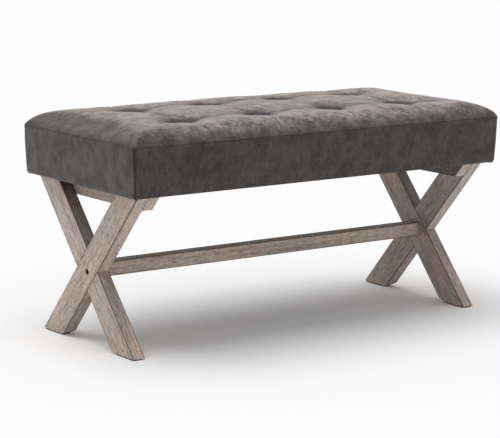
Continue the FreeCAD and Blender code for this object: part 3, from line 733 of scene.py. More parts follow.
def staple_pattern(crown: float, leg: float, width: float, thickness: float, bend: float,
                   stray: float, seed: int) -> Pattern:
    """Bent wire staple on every guide point, turned to the point's heading.

    Args:
        crown: length over the back.
        leg: depth of the legs.
        width, thickness: section of the flat wire.
        bend: radius of the two bends.
        stray: largest slip of a staple's turn, in radians.
        seed: fixes the slips.

    Returns:
        The tree.
    """
    tree = Pattern("staples", Crown=crown, Leg=leg, Width=width, Thickness=thickness, Bend=bend,
                   Stray=stray, Seed=seed)
    index = tree.index()
    inset = tree.calc("SUBTRACT", tree.inputs["Crown"], tree.inputs["Thickness"])
    side = tree.calc("SUBTRACT", tree.calc("GREATER_THAN", index, 1.5), 0.5)
    from_middle = tree.calc("ABSOLUTE", tree.calc("SUBTRACT", index, 1.5))
    outer = tree.calc("GREATER_THAN", from_middle, 1.0)
    form = tree.placed(tree.line(4), tree.calc("MULTIPLY", side, inset), 0.0,
                       tree.calc("MULTIPLY", outer, tree.inputs["Leg"]))
    fillet = tree.feed(tree.add("GeometryNodeFilletCurve", mode="POLY"), Curve=tree.curve(form),
                       Count=3, Radius=tree.inputs["Bend"])
    section = tree.feed(tree.add("GeometryNodeCurvePrimitiveQuadrilateral"),
                        Width=tree.inputs["Thickness"], Height=tree.inputs["Width"])
    staple = tree.swept(fillet.outputs[0], section.outputs[0])
    slip = tree.add("FunctionNodeRandomValue", data_type="FLOAT")
    limits = [socket for socket in slip.inputs if socket.type == "VALUE"]
    tree.join(tree.calc("MULTIPLY", tree.inputs["Stray"], -1.0), limits[0])
    tree.join(tree.inputs["Stray"], limits[1])
    tree.join(tree.inputs["Seed"], slip.inputs["Seed"])
    slipped = [socket for socket in slip.outputs if socket.type == "VALUE"][0]
    heading = tree.add("GeometryNodeInputNamedAttribute", data_type="FLOAT")
    tree.join("heading", heading.inputs["Name"])
    turn = tree.vector(0.0, 0.0, tree.calc("ADD", heading.outputs[0], slipped))
    tree.finish(tree.copied(tree.inputs["Guide"], staple, turn))
    return tree


def stitch_pattern(pitch: float, length: float, radius: float) -> Pattern:
    """Short thread lying along every guide edge, once each pitch.

    Args:
        pitch: distance from stitch to stitch.
        length: visible length of a stitch.
        radius: radius of the thread.

    Returns:
        The tree.
    """
    tree = Pattern("stitches", Pitch=pitch, Length=length, Radius=radius)
    points = tree.feed(tree.add("GeometryNodeCurveToPoints", mode="LENGTH"),
                       Curve=tree.curve(tree.inputs["Guide"]), Length=tree.inputs["Pitch"])
    along = tree.calc("SUBTRACT", tree.calc("DIVIDE", tree.index(), 4.0), 0.5)
    lift = tree.calc("MULTIPLY", tree.calc("MULTIPLY", along, along), -4.0)
    arched = tree.placed(tree.line(5), tree.calc("MULTIPLY", lift, tree.inputs["Radius"]), 0.0,
                         tree.calc("MULTIPLY", along, tree.inputs["Length"]))
    thread = tree.swept(tree.curve(arched), tree.circle(5, Radius=tree.inputs["Radius"]))
    tree.finish(tree.copied(points.outputs["Points"], thread, points.outputs["Rotation"]))
    return tree


def twine_pattern(length: float, radius: float, pitch: float, knot: float) -> Pattern:
    """Three-ply twine with a knot at its foot, standing on every guide point.

    Args:
        length: from the knot to the button's eye.
        radius: radius over the three plies.
        pitch: length of one twist.
        knot: size of the knot.

    Returns:
        The tree.
    """
    tree = Pattern("tufting_twine", Length=length, Radius=radius, Pitch=pitch, Knot=knot)
    upright = tree.vector(0.0, 0.0, tree.inputs["Length"])
    line = tree.feed(tree.add("GeometryNodeCurvePrimitiveLine"), End=upright)
    dense = tree.feed(tree.add("GeometryNodeResampleCurve"), Curve=line.outputs[0], Count=160)
    along = tree.add("GeometryNodeSplineParameter").outputs["Length"]
    angle = tree.calc("MULTIPLY", tree.calc("DIVIDE", along, tree.inputs["Pitch"]), TURN)
    ply = tree.calc("MULTIPLY", tree.inputs["Radius"], 0.54)
    wound = tree.placed(dense.outputs[0], tree.calc("MULTIPLY", tree.calc("COSINE", angle), ply),
                        tree.calc("MULTIPLY", tree.calc("SINE", angle), ply), along)
    thin = tree.calc("MULTIPLY", tree.inputs["Radius"], 0.46)
    strand = tree.swept(wound, tree.circle(8, Radius=thin))
    third = tree.calc("MULTIPLY", tree.index(), TURN / 3)
    stacked = tree.placed(tree.line(3), 0.0, 0.0, 0.0)
    plies = tree.copied(stacked, strand, tree.vector(0.0, 0.0, third))
    share = tree.calc("MULTIPLY", tree.add("GeometryNodeSplineParameter").outputs["Factor"], TURN)
    double = tree.calc("MULTIPLY", share, 2.0)
    size = tree.calc("MULTIPLY", tree.inputs["Knot"], 0.26)
    twice_sine = tree.calc("MULTIPLY", tree.calc("SINE", double), 2.0)
    twice_cosine = tree.calc("MULTIPLY", tree.calc("COSINE", double), 2.0)
    trefoil = (tree.calc("ADD", tree.calc("SINE", share), twice_sine),
               tree.calc("SUBTRACT", tree.calc("COSINE", share), twice_cosine),
               tree.calc("SINE", tree.calc("MULTIPLY", share, 3.0)))
    tied = tree.placed(tree.circle(72), *(tree.calc("MULTIPLY", axis, size) for axis in trefoil))
    thick = tree.calc("MULTIPLY", tree.inputs["Radius"], 0.8)
    knotted = tree.swept(tied, tree.circle(8, Radius=thick))
    both = tree.add("GeometryNodeJoinGeometry")
    tree.join(plies, both.inputs[0])
    tree.join(knotted, both.inputs[0])
    tree.finish(tree.copied(tree.inputs["Guide"], both.outputs[0], tree.vector(0.0, 0.0, 0.0)))
    return tree


# Seat


@dataclass(frozen=True)
class Fold:
    """A crease or soft ridge in the top panel, along straight runs between points."""

    points: tuple
    width: float
    depth: float
    lift: float = 0.0

    def relief(self, x: np.ndarray, y: np.ndarray) -> np.ndarray:
        """Height that the fold adds at each place.

        Args:
            x, y: places seen from above.

        Returns:
            The added height, below zero in the crease.
        """
        total = np.zeros_like(x)
        lengths = [math.dist(a, b) for a, b in zip(self.points, self.points[1:])]
        whole = sum(lengths)
        nearest = np.full_like(x, 1.0)
        travelled = np.zeros_like(x)
        side = np.zeros_like(x)
        start = 0.0
        for (ax, ay), (bx, by), length in zip(self.points, self.points[1:], lengths):
            ux, uy = (bx - ax) / length, (by - ay) / length
            along = (x - ax) * ux + (y - ay) * uy
            held = np.clip(along, 0, length)
            away = np.hypot(x - ax - held * ux, y - ay - held * uy)
            closer = away < nearest
            nearest = np.where(closer, away, nearest)
            travelled = np.where(closer, (start + held) / whole, travelled)
            side = np.where(closer, (x - ax) * -uy + (y - ay) * ux, side)
            start += length
        taper = np.clip(np.sin(math.pi * np.clip(travelled, 0.02, 0.98)), 0, 1) ** 0.6
        beside = np.exp(-(((side - 2 * self.width) / (1.6 * self.width)) ** 2))
        within = np.exp(-((nearest / (4 * self.width)) ** 2))
        total -= self.depth * taper * np.exp(-((nearest / self.width) ** 2))
        return total + self.lift * taper * beside * within


@dataclass
class SeatShape:
    """Outer surface of the stuffed seat, as heights over its plan and outlines of its walls."""

    half_length: float = 0.453
    half_depth: float = 0.203
    seam: float = 0.410
    foot: float = 0.3136
    corner_radius: float = 0.008
    end_rise: float = 0.0315
    end_dome: float = 0.0082
    side_rise: float = 0.0338
    side_dome: float = 0.0054
    shoulder_run: float = 0.060
    corner_blend: float = 0.0100
    tuft_x: tuple = (-0.273, -0.091, 0.091, 0.273)
    tuft_y: tuple = (-0.090, 0.090)
    tuft_depth: float = 0.0145
    tuft_radius: float = 0.0180
    tuft_seat: float = 0.4196
    dish: float = 0.0075
    dish_radius: float = 0.031
    pull_forward: float = 0.0036
    pull_width: float = 0.020
    pull_length: float = 0.058
    row_valley: float = 0.0013
    row_valley_width: float = 0.012
    row_sag: float = 0.0024
    row_sag_width: float = 0.036
    column_crease: float = 0.0010
    column_crease_width: float = 0.005
    row_end: float = 0.41
    row_fade: float = 0.11
    flat_rim: float = 0.012
    tufted_rise: float = 0.025
    fold_rise: float = 0.010
    swell: float = 0.002
    draw_in: float = 0.004
    bottom_radius: float = 0.006
    hem: float = 0.018
    wave: float = 0.0005
    wave_size: float = 0.085
    folds: tuple = (
        Fold(((-0.276, -0.120), (-0.281, -0.150), (-0.276, -0.176), (-0.270, -0.194)),
             0.0026, 0.0016, 0.0009),
        Fold(((-0.095, -0.118), (-0.100, -0.150), (-0.103, -0.176), (-0.108, -0.197)),
             0.0024, 0.0018, 0.0010),
        Fold(((0.090, -0.118), (0.084, -0.146), (0.087, -0.172), (0.083, -0.190)),
             0.0026, 0.0014, 0.0008),
        Fold(((0.272, -0.120), (0.266, -0.150), (0.262, -0.182)), 0.0024, 0.0014, 0.0008),
        Fold(((-0.238, -0.098), (-0.192, -0.094), (-0.142, -0.093)), 0.0034, 0.0014, 0.0007),
        Fold(((-0.052, -0.093), (-0.004, -0.098), (0.048, -0.092)), 0.0034, 0.0014, 0.0007),
        Fold(((0.128, -0.095), (0.180, -0.092), (0.232, -0.095)), 0.0034, 0.0014, 0.0007),
        Fold(((0.302, -0.093), (0.345, -0.084), (0.395, -0.086)), 0.0030, 0.0016, 0.0009),
        Fold(((-0.306, -0.092), (-0.350, -0.099), (-0.395, -0.094)), 0.0030, 0.0012, 0.0006),
        Fold(((-0.304, 0.089), (-0.356, 0.080), (-0.420, 0.098)), 0.0030, 0.0016, 0.0009),
        Fold(((-0.238, 0.090), (-0.186, 0.084), (-0.130, 0.089)), 0.0034, 0.0013, 0.0007),
        Fold(((-0.052, 0.087), (0.002, 0.091), (0.052, 0.088)), 0.0034, 0.0013, 0.0007),
        Fold(((0.130, 0.090), (0.184, 0.085), (0.236, 0.090)), 0.0034, 0.0013, 0.0007),
        Fold(((0.304, 0.088), (0.348, 0.094), (0.398, 0.090)), 0.0030, 0.0013, 0.0007),
        Fold(((-0.273, 0.122), (-0.279, 0.150), (-0.275, 0.186)), 0.0026, 0.0014, 0.0008),
        Fold(((-0.092, 0.120), (-0.086, 0.152), (-0.090, 0.184)), 0.0026, 0.0014, 0.0008),
        Fold(((0.091, 0.122), (0.097, 0.150), (0.093, 0.186)), 0.0026, 0.0014, 0.0008),
        Fold(((0.274, 0.120), (0.270, 0.154), (0.276, 0.184)), 0.0026, 0.0014, 0.0008),
        Fold(((-0.250, -0.066), (-0.236, -0.040), (-0.230, -0.012)), 0.0032, 0.0012, 0.0006),
        Fold(((-0.068, 0.064), (-0.054, 0.036), (-0.052, 0.008)), 0.0032, 0.0012, 0.0006),
        Fold(((0.112, -0.064), (0.130, -0.040), (0.134, -0.010)), 0.0032, 0.0012, 0.0006),
        Fold(((0.250, 0.062), (0.238, 0.034), (0.240, 0.004)), 0.0032, 0.0012, 0.0006),
    )

    def shoulder(self, u: np.ndarray, half: float, rise: float, dome: float) -> np.ndarray:
        """Height over the seam of one section of the crown.

        Args:
            u: distance from the middle of the section.
            half: half the section.
            rise: climb of the shoulder.
            dome: extra rise of the middle.

        Returns:
            The height at each place.
        """
        run = self.shoulder_run
        radius = (run ** 2 + rise ** 2) / (2 * rise)
        past = np.clip(np.abs(u) - (half - run), 0, run)
        middle = np.clip(1 - (u / (half - run)) ** 2, 0, 1)
        return rise - radius + np.sqrt(radius ** 2 - past ** 2) + dome * middle

    def crown(self, x: np.ndarray, y: np.ndarray) -> np.ndarray:
        """Height of the crown over the seam, before tufts and folds.

        Args:
            x, y: places seen from above.

        Returns:
            The height at each place.
        """
        across = self.shoulder(y, self.half_depth, self.side_rise, self.side_dome)
        along = self.shoulder(x, self.half_length, self.end_rise, self.end_dome)
        reach = self.corner_blend * np.clip(np.minimum(across, along) / self.side_rise, 0.02, 1)
        return np.maximum(smooth_min(across, along, reach), 0)

    def hollows(self, x: np.ndarray, y: np.ndarray) -> np.ndarray:
        """How far the tufts pull the crown down, with the valleys that join them.

        Args:
            x, y: places seen from above.

        Returns:
            The depth at each place.
        """
        down = np.zeros_like(x)
        rows = np.zeros_like(x)
        for cy in self.tuft_y:
            rows += self.row_valley * np.exp(-((y - cy) / self.row_valley_width) ** 2)
            rows += self.row_sag * np.exp(-((y - cy) / self.row_sag_width) ** 2)
            for cx in self.tuft_x:
                away = np.hypot(x - cx, y - cy)
                down += self.tuft_depth * np.exp(-((away / self.tuft_radius) ** 2.2))
                down += self.dish * np.exp(-((away / self.dish_radius) ** 2))
                ahead = ((y - cy) / self.pull_length) ** 2
                pull = np.exp(-(((x - cx) / self.pull_width) ** 2) - ahead)
                crease = np.exp(-(((x - cx) / self.column_crease_width) ** 2) - ahead)
                down += self.pull_forward * pull + self.column_crease * crease
        ends = np.clip((self.row_end - np.abs(x)) / self.row_fade, 0, 1)
        down += rows * ends * ends * (3 - 2 * ends)
        return down * np.clip(self.crown(x, y) / self.flat_rim, 0, 1)

    def top(self, x: np.ndarray, y: np.ndarray) -> np.ndarray:
        """Height of the finished top panel.

        Args:
            x, y: places seen from above.

        Returns:
            The height at each place.
        """
        rise = self.crown(x, y)
        height = self.seam + rise - self.hollows(x, y)
        height = np.maximum(height, self.tuft_seat * (rise >= self.tufted_rise))
        inner = np.clip(rise / self.fold_rise, 0, 1)
        for fold in self.folds:
            height = height + fold.relief(x, y) * inner
        height = height + self.wave * ripple(x, y, self.wave_size, 5) * inner
        return height + self.seam_wave(x, y) * (1 - inner)

    def seam_wave(self, x: np.ndarray, y: np.ndarray) -> np.ndarray:
        """Small rise and fall of the seam along its run."""
        return self.wave * ripple(x * 1.3, y * 1.3, 0.12, 11)

    def rounded(self, x: np.ndarray, y: np.ndarray) -> tuple:
        """Plan places with the square corners of the panel turned to arcs.

        Args:
            x, y: places seen from above.

        Returns:
            The turned places, x and y.
        """
        radius = self.corner_radius
        a = np.clip((np.abs(x) - (self.half_length - radius)) / radius, 0, 1)
        b = np.clip((np.abs(y) - (self.half_depth - radius)) / radius, 0, 1)
        shrink_x = radius * a * (1 - np.sqrt(1 - b * b / 2))
        shrink_y = radius * b * (1 - np.sqrt(1 - a * a / 2))
        return x - np.sign(x) * shrink_x, y - np.sign(y) * shrink_y


def resampling(coarse: int, fine: int) -> np.ndarray:
    """Smooth weights that turn a row of coarse samples into a row of fine ones.

    Args:
        coarse, fine: how many samples each row has, both from end to end.

    Returns:
        A matrix with a row for each fine sample.
    """
    apart = np.abs(np.linspace(0, coarse - 1, fine)[:, None] - np.arange(coarse)[None, :])
    inner = 1 - 2.5 * apart ** 2 + 1.5 * apart ** 3
    outer = 2 - 4 * apart + 2.5 * apart ** 2 - 0.5 * apart ** 3
    weights = np.where(apart < 1, inner, np.where(apart < 2, outer, 0.0))
    return weights / weights.sum(axis=1, keepdims=True)


def blurred(values: np.ndarray, passes: int) -> np.ndarray:
    """Grid of heights after that many rounds of averaging each point's neighbours.

    Args:
        values: the heights.
        passes: the number of rounds.

    Returns:
        The smoothed heights.
    """
    for _ in range(passes):
        wide = np.pad(values, 1, mode="edge")
        values = (wide[:-2, 1:-1] + wide[2:, 1:-1] + wide[1:-1, :-2] + wide[1:-1, 2:]) / 4
    return values


@dataclass(frozen=True)
class Settling:
    """Cloth simulation in which the stuffed top panel finds its own folds between the tufts."""

    spacing: float = 0.005
    frames: int = 20
    pressure: float = 9.0
    slack: float = 1.004
    button_radius: float = 0.0095
    edge_hold: float = 0.014
    cap: float = 0.010
    stiffness: float = 12.0
    bending: float = 1.5
    broad_passes: int = 220

    def run(self, shape: SeatShape, rows: int, columns: int) -> np.ndarray:
        """Simulate the panel on a coarse grid.

        Args:
            shape: the panel's start.
            rows, columns: points of the fine grid that takes the result.

        Returns:
            How far each point of the fine grid moves, as vectors.
        """
        across = round(2 * shape.half_length / self.spacing) + 1
        deep = round(2 * shape.half_depth / self.spacing) + 1
        x, y = np.meshgrid(np.linspace(-shape.half_length, shape.half_length, across),
                           np.linspace(-shape.half_depth, shape.half_depth, deep), indexing="ij")
        start = np.stack([x, y, shape.top(x, y)], axis=-1)
        cut = np.stack([x * self.slack, y * self.slack, shape.seam + shape.crown(x, y)], axis=-1)
        piece = add_piece("settling_cloth", start.reshape(-1, 3), grid_faces(across, deep))
        piece.shape_key_add(name="Basis")
        rest = piece.shape_key_add(name="cut")
        rest.data.foreach_set("co", cut.ravel())
        inside = np.minimum(shape.half_length - np.abs(x), shape.half_depth - np.abs(y))
        hold = np.clip(1 - inside / self.edge_hold, 0, 1)
        for cx in shape.tuft_x:
            for cy in shape.tuft_y:
                hold = np.maximum(hold, np.hypot(x - cx, y - cy) < self.button_radius)
        group = piece.vertex_groups.new(name="held")
        for index, weight in enumerate(hold.ravel()):
            if weight > 0:
                group.add([index], float(weight), "REPLACE")
        cloth = piece.modifiers.new("settling", "CLOTH")
        settings = cloth.settings
        settings.rest_shape_key = rest
        settings.vertex_group_mass = "held"
        settings.quality = 7
        settings.tension_stiffness = settings.compression_stiffness = self.stiffness
        settings.shear_stiffness = self.stiffness / 2
        settings.bending_stiffness = self.bending
        settings.use_pressure = True
        settings.uniform_pressure_force = self.pressure
        settings.effector_weights.gravity = 0.0
        cloth.point_cache.frame_end = self.frames
        for number in range(1, self.frames + 1):
            bpy.context.scene.frame_set(number)
        settled = piece.evaluated_get(bpy.context.evaluated_depsgraph_get()).data
        moved = np.empty(len(settled.vertices) * 3)
        settled.vertices.foreach_get("co", moved)
        bpy.context.scene.frame_set(1)
        bpy.data.objects.remove(piece)
        shift = moved.reshape(across, deep, 3) - start
        LOG.info("settling: largest move %.1f mm, mean rise %.2f mm",
                 np.linalg.norm(shift, axis=-1).max() / MM, shift[..., 2].mean() / MM)
        length = np.linalg.norm(shift, axis=-1, keepdims=True)
        shift *= np.minimum(1, self.cap / np.maximum(length, 1e-9))
        shift[..., 2] -= blurred(shift[..., 2], self.broad_passes)
        fine = [resampling(across, rows) @ shift[..., axis] @ resampling(deep, columns).T
                for axis in range(3)]
        return np.stack(fine, axis=-1)


@dataclass(frozen=True)
class Rubbing:
    """Where the seat's leather shows pale wear, painted light on its crown and painted shade in its
    hollows and creases.
    """

    # The pale share rises from the seam to the crown: part wear, part painted light standing in for
    # the top light.
    at_seam: float = 0.22
    full_rise: float = 0.024
    climb: float = 1.8
    # painted highlight along the front crest
    crest_highlight: float = 0.32
    crest_rise: float = 0.0295
    crest_width: float = 0.0058
    # painted shade in the tuft hollows
    hollow_shade: float = 0.92
    hollow_depth: float = 0.0110
    hollow_power: float = 1.4
    # darker toward the left end
    left_loss: float = 0.40
    left_reach: float = 0.11
    # Low shares in the seam turn and on the walls: painted shade, the walls darker than the lit
    # crown.
    in_seam: float = 0.1
    long_wall: float = 0.14
    end_wall: float = 0.22
    button: float = 0.6
    near_passes: int = 50
    far_passes: int = 350
    near_height: float = 0.0014
    far_height: float = 0.0052
    near_share: float = 0.45
    crease_from: float = 0.0045
    crease_run: float = 0.0085

    def relief(self, height: np.ndarray, depth: np.ndarray) -> np.ndarray:
        """How far each place stands out from its neighbourhood.

        Args:
            height: height over the plain crown.
            depth: depth of the hollows under it.

        Returns:
            From 1 on a high to -1 in a crease, and less in a hollow; the finish paints shade where
            it is low and partly a highlight where it is high.
        """
        near = blurred(height, self.near_passes)
        far = blurred(near, self.far_passes)
        local = self.near_share * np.clip((height - near) / self.near_height, -1, 1)
        broad = np.clip((height - far) / self.far_height, -1, 0.6)
        sunk = np.clip((depth - self.crease_from) / self.crease_run, 0, 1)
        return np.clip(local + broad, -1, 1) - sunk

    def over_top(self, rise: np.ndarray, depth: np.ndarray, from_left: np.ndarray) -> np.ndarray:
        """Share of the pale coat that shows on the top panel: part wear, part painted light.

        Args:
            rise: height of the plain crown over the seam.
            depth: depth of the hollows under it.
            from_left: distance from the left end.

        Returns:
            The share at each place.
        """
        risen = np.clip(rise / self.full_rise, 0, 1) ** self.climb
        crest = np.exp(-(((rise - self.crest_rise) / self.crest_width) ** 2))
        sunk = np.clip(depth / self.hollow_depth, 0, 1) ** self.hollow_power
        left = np.exp(-((from_left / self.left_reach) ** 2))
        share = (self.at_seam + (1 - self.at_seam) * risen) * (1 + self.crest_highlight * crest)
        return share * (1 - self.hollow_shade * sunk) * (1 - self.left_loss * left)


@dataclass
class Seat:
    """Stuffed seat: sewn cover, buttons, seam stitches, wadding and foam."""

    finishes: Finishes
    shape: SeatShape = field(default_factory=SeatShape)
    settling: Settling = field(default_factory=Settling)
    rubbing: Rubbing = field(default_factory=Rubbing)
    spacing: float = 0.0029
    cover: float = 0.001
    cover_fill: float = 0.85
    lip: tuple = ((0.00015, 0.00038), (0.0005, 0.00014), (0.0013, 0.00006), (0.0033, 0.00006))
    lip_start: float = 0.0008
    wall_step: float = 0.004
    wall_rows: int = 37
    wall_seed: int = 21
    wall_sag: float = 0.0006
    wall_sag_size: float = 0.07
    pucker: float = 0.0008
    pucker_reach: float = 0.018
    pucker_shade: float = 0.016
    corner_reach: float = 0.045
    # painted shade line in the corner seams: offset and width
    corner_seam_shade: tuple = (0.0023, 0.0022)
    # height of the painted shadow band along the hem
    hem_shadow: float = 0.0024
    core_step: int = 3
    core_taper: tuple = (0.010, 0.022)
    thread_inset: float = 0.0006
    stitch: tuple = (0.0042, 0.0030, 0.00022)
    twine_radius: float = 0.0008
    twine_pitch: float = 0.0042
    knot: float = 0.0030

    def __post_init__(self) -> None:
        """Work out the settled face of the top panel, which its layers follow."""
        shape = self.shape
        rows = round(2 * shape.half_length / self.spacing) + 1
        columns = round(2 * shape.half_depth / self.spacing) + 1
        x, y = np.meshgrid(np.linspace(-shape.half_length, shape.half_length, rows),
                           np.linspace(-shape.half_depth, shape.half_depth, columns), indexing="ij")
        self.rise = shape.crown(x, y)
        self.depth = shape.hollows(x, y)
        self.edge = np.clip(1 - self.rise / 0.004, 0, 1)
        shift = self.settling.run(shape, rows, columns) * (1 - self.edge[..., None])
        px, py = shape.rounded(x, y)
        self.face = np.stack([px, py, shape.top(x, y)], axis=-1) + shift

    def build(self) -> None:
        """Make every piece of the seat."""
        self.top_panel()
        for name, along_x, sign in (("front", True, -1), ("back", True, 1), ("left", False, -1),
                                    ("right", False, 1)):
            self.boxing(name, along_x, sign)
        self.cores()
        self.buttons()
        self.stitches()
        self.twines()

    def top_panel(self) -> None:
        """Tufted panel with its edge turned into the seam."""
        shape = self.shape
        grid = self.face.copy()
        grid[..., 2] += self.lip_start * self.edge
        ring = rim(*self.edge.shape)
        verts = [grid.reshape(-1, 3)]
        faces = grid_faces(*self.edge.shape)
        outline = verts[0][ring]
        around = np.roll(outline, -1, axis=0) - np.roll(outline, 1, axis=0)
        inward = np.stack([-around[:, 1], around[:, 0]], axis=-1)
        inward /= np.linalg.norm(inward, axis=1, keepdims=True)
        seam = shape.seam + shape.seam_wave(outline[:, 0], outline[:, 1])
        last = ring
        count = self.edge.size
        for inset, above in self.lip:
            lip = outline.copy()
            lip[:, :2] += inward * inset
            lip[:, 2] = seam + above
            verts.append(lip)
            fresh = list(range(count, count + len(ring)))
            count += len(ring)
            faces += band_faces(last, fresh)
            last = fresh
        panel = add_piece("top_cover_panel", np.concatenate(verts), faces)
        # Painted light: the pale share is high on the crown and low in the hollows, and the relief
        # paints shade in the creases; the turned seam edge is painted a little darker.
        relief = self.rubbing.relief(grid[..., 2] - self.rise, self.depth)
        wear_and_light_share = self.rubbing.over_top(self.rise, self.depth, grid[..., 0] + shape.half_length)
        turned = np.ones(count - self.edge.size)
        paint(panel, "relief", np.concatenate([relief.ravel(), -0.1 * turned]))
        paint(panel, "wear_and_light_share", np.concatenate([wear_and_light_share.ravel(), self.rubbing.in_seam * turned]))
        self.thicken(panel)
        finish_piece(panel, self.finishes.leather, "upholstery", "cover_top_panel")

    def thicken(self, panel: bpy.types.Object) -> None:
        """Give a panel the thickness of its cloth, inwards.

        Args:
            panel: the panel's object.
        """
        solid = panel.modifiers.new("cloth", "SOLIDIFY")
        solid.thickness = self.cover
        solid.offset = -1.0

    def boxing(self, name: str, along_x: bool, sign: int) -> None:
        """One side wall from the seam to its hem, ending in the corner seams.

        Args:
            name: which side of the seat.
            along_x: whether the wall runs along X.
            sign: the side of the middle that it is on.
        """
        shape = self.shape
        half, other = shape.half_length, shape.half_depth
        if not along_x:
            half, other = other, half
        run, out, lean = self.wall_plan(half)
        levels = self.wall_levels()
        rows, columns = len(run), len(levels)
        place_x = run if along_x else sign * (other + out)
        place_y = sign * (other + out) if along_x else run
        wave = shape.seam_wave(place_x, place_y)
        grid = np.zeros((rows, columns, 3))
        relief = np.zeros((rows, columns))
        corner = half - np.abs(run)
        free = 1 - np.exp(-((np.clip(corner, 0, None) / self.corner_reach) ** 2))
        gathered = np.exp(-((corner / self.pucker_reach) ** 2)) * (corner > 0.002)
        line, line_width = self.corner_seam_shade
        shaded = np.exp(-((corner / self.pucker_shade) ** 2))
        seed = self.wall_seed + (along_x * 2 + (sign > 0))
        for column, (push, height, inset, share) in enumerate(levels):
            bulge = shape.swell * 4 * share * (1 - share) * free
            sag = ripple(run, np.full_like(run, height), self.wall_sag_size, seed)
            sag = self.wall_sag * sag
            sag = sag * min(1.0, 6 * share) * min(1.0, 6 * (1 - share)) * free
            folding = math.sin(share * 58) * math.exp(-share * 8)
            outward = push + bulge + sag + self.pucker * gathered * folding
            run_at = run + outward * np.sin(lean) - inset * run / half
            out_at = other + out + outward * np.cos(lean) - inset
            z = height + wave * math.exp(-share * 30)
            ends = (run_at, sign * out_at) if along_x else (sign * out_at, run_at)
            grid[:, column] = np.stack([*ends, z], axis=-1)
            # Painted shade: a dark line in the corner seam, a painted shadow band along the hem,
            # and shade in the puckers by the corners.
            relief[:, column] = -np.exp(-(((corner - line) / line_width) ** 2))
            relief[:, column] -= 0.9 * (height < shape.foot + self.hem_shadow)
            relief[:, column] -= 0.9 * max(0.0, folding) * shaded
        faces = grid_faces(rows, columns)
        if along_x == (sign < 0):
            faces = [face[::-1] for face in faces]
        panel = add_piece(name + "_boxing_panel", grid.reshape(-1, 3), faces)
        paint(panel, "relief", relief.ravel())
        # The walls take a lower pale share than the crown: part wear, part painted shade, the walls
        # darker than the lit top.
        wear_and_light_share = self.rubbing.long_wall if along_x else self.rubbing.end_wall
        paint(panel, "wear_and_light_share", np.full(relief.size, wear_and_light_share))
        self.thicken(panel)
        finish_piece(panel, self.finishes.leather, "upholstery", "cover_" + name + "_boxing")

    def wall_plan(self, half: float) -> tuple:
        """Outline of a side wall seen from above, with half of each rounded corner.

        Args:
            half: half the wall's length over its corners.

        Returns:
            Place along the wall, place outside its straight part, and heading of its face.
        """
        radius = self.shape.corner_radius
        count = round(2 * half / self.wall_step) + 1
        straight = np.linspace(-(half - radius), half - radius, count)
        turns = np.linspace(0, math.pi / 4, 5)[1:]
        flat = np.zeros(len(straight))
        away = radius * np.cos(turns) - radius
        beyond = half - radius + radius * np.sin(turns)
        run = np.concatenate([-beyond[::-1], straight, beyond])
        out = np.concatenate([away[::-1], flat, away])
        lean = np.concatenate([-turns[::-1], flat, turns])
        corner_run, corner_out = run[0], out[0]
        for inset, gap in self.lip:
            tucked = corner_run + inset * math.sqrt(0.5) + gap
            run = np.concatenate([[tucked], run, [-tucked]])
            out = np.pad(out, 1, constant_values=corner_out - inset * math.sqrt(0.5))
            lean = np.concatenate([[-math.pi / 4], lean, [math.pi / 4]])
        return run, out, lean

    def wall_levels(self) -> list:
        """Profile of a side wall: outward push, height, inset and share of its height.

        Returns:
            One row for each level.
        """
        shape = self.shape
        bottom = shape.foot + shape.bottom_radius
        levels = [(-inset, shape.seam - above, 0.0, 0.0) for inset, above in self.lip[::-1]]
        top = shape.seam - self.lip_start
        for height in np.linspace(top, bottom, self.wall_rows):
            share = (shape.seam - height) / (shape.seam - bottom)
            levels.append((-shape.draw_in * share ** 1.6, height, 0.0, share))
        for angle in np.linspace(0, math.pi / 2, 6)[1:]:
            push = -shape.draw_in - shape.bottom_radius * (1 - math.cos(angle))
            levels.append((push, bottom - shape.bottom_radius * math.sin(angle), 0.0, 1.0))
        for inset in (0.005, 0.011, shape.hem):
            levels.append((-shape.draw_in - shape.bottom_radius, shape.foot, inset, 1.0))
        return levels

    def cores(self) -> None:
        """Wadding wrap and foam pad that fill the cover."""
        self.core("foam_core", "foam_pad", "foam", self.finishes.foam, below=0.0092, inset=0.0102)
        self.core("wadding_wrap", "batting", "wadding", self.finishes.wadding, below=0.0016,
                  inset=0.0017, wall=0.0064)

    def core(self, name: str, node: str, slot: str, material: bpy.types.Material, below: float,
             inset: float, wall: float = 0.0) -> None:
        """A layer inside the cover that follows its crown.

        Args:
            name: the piece's name.
            node: the CAD node that it stands for.
            slot: a material slot's name, passed on to finish_piece.
            material: its finish.
            below: distance under the cover's face.
            inset: distance inside its walls.
            wall: thickness of an open layer, or 0 for a solid one.
        """
        shape = self.shape
        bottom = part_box(node)[0].z
        rows, columns = (size // self.core_step + 1 for size in self.face.shape[:2])
        lines = [np.linspace(0, fine - 1, coarse).round().astype(int)
                 for fine, coarse in zip(self.face.shape, (rows, columns))]
        grid = self.face[np.ix_(*lines)] - (0, 0, below * 1.35)
        grid[..., 0] *= (shape.half_length - inset) / shape.half_length
        grid[..., 1] *= (shape.half_depth - inset) / shape.half_depth
        grid = grid.reshape(-1, 3)
        loop = rim(rows, columns)
        faces = grid_faces(rows, columns)
        verts = [grid]
        last = loop
        count = len(grid)
        taper = np.array(self.core_taper)
        for share in (0.25, 0.5, 0.75, 1.0):
            skirt = grid[loop]
            skirt[:, 2] += (bottom - skirt[:, 2]) * share
            skirt[:, :2] *= 1 - taper * share
            verts.append(skirt)
            fresh = list(range(count, count + len(loop)))
            count += len(loop)
            faces += band_faces(last, fresh)
            last = fresh
        if not wall:
            base = grid.copy()
            base[:, :2] *= 1 - taper
            base[:, 2] = bottom
            outer = set(loop)
            inner = [index for index in range(len(grid)) if index not in outer]
            merged = dict(zip(loop, last)) | dict(zip(inner, range(count, count + len(inner))))
            verts.append(base[inner])
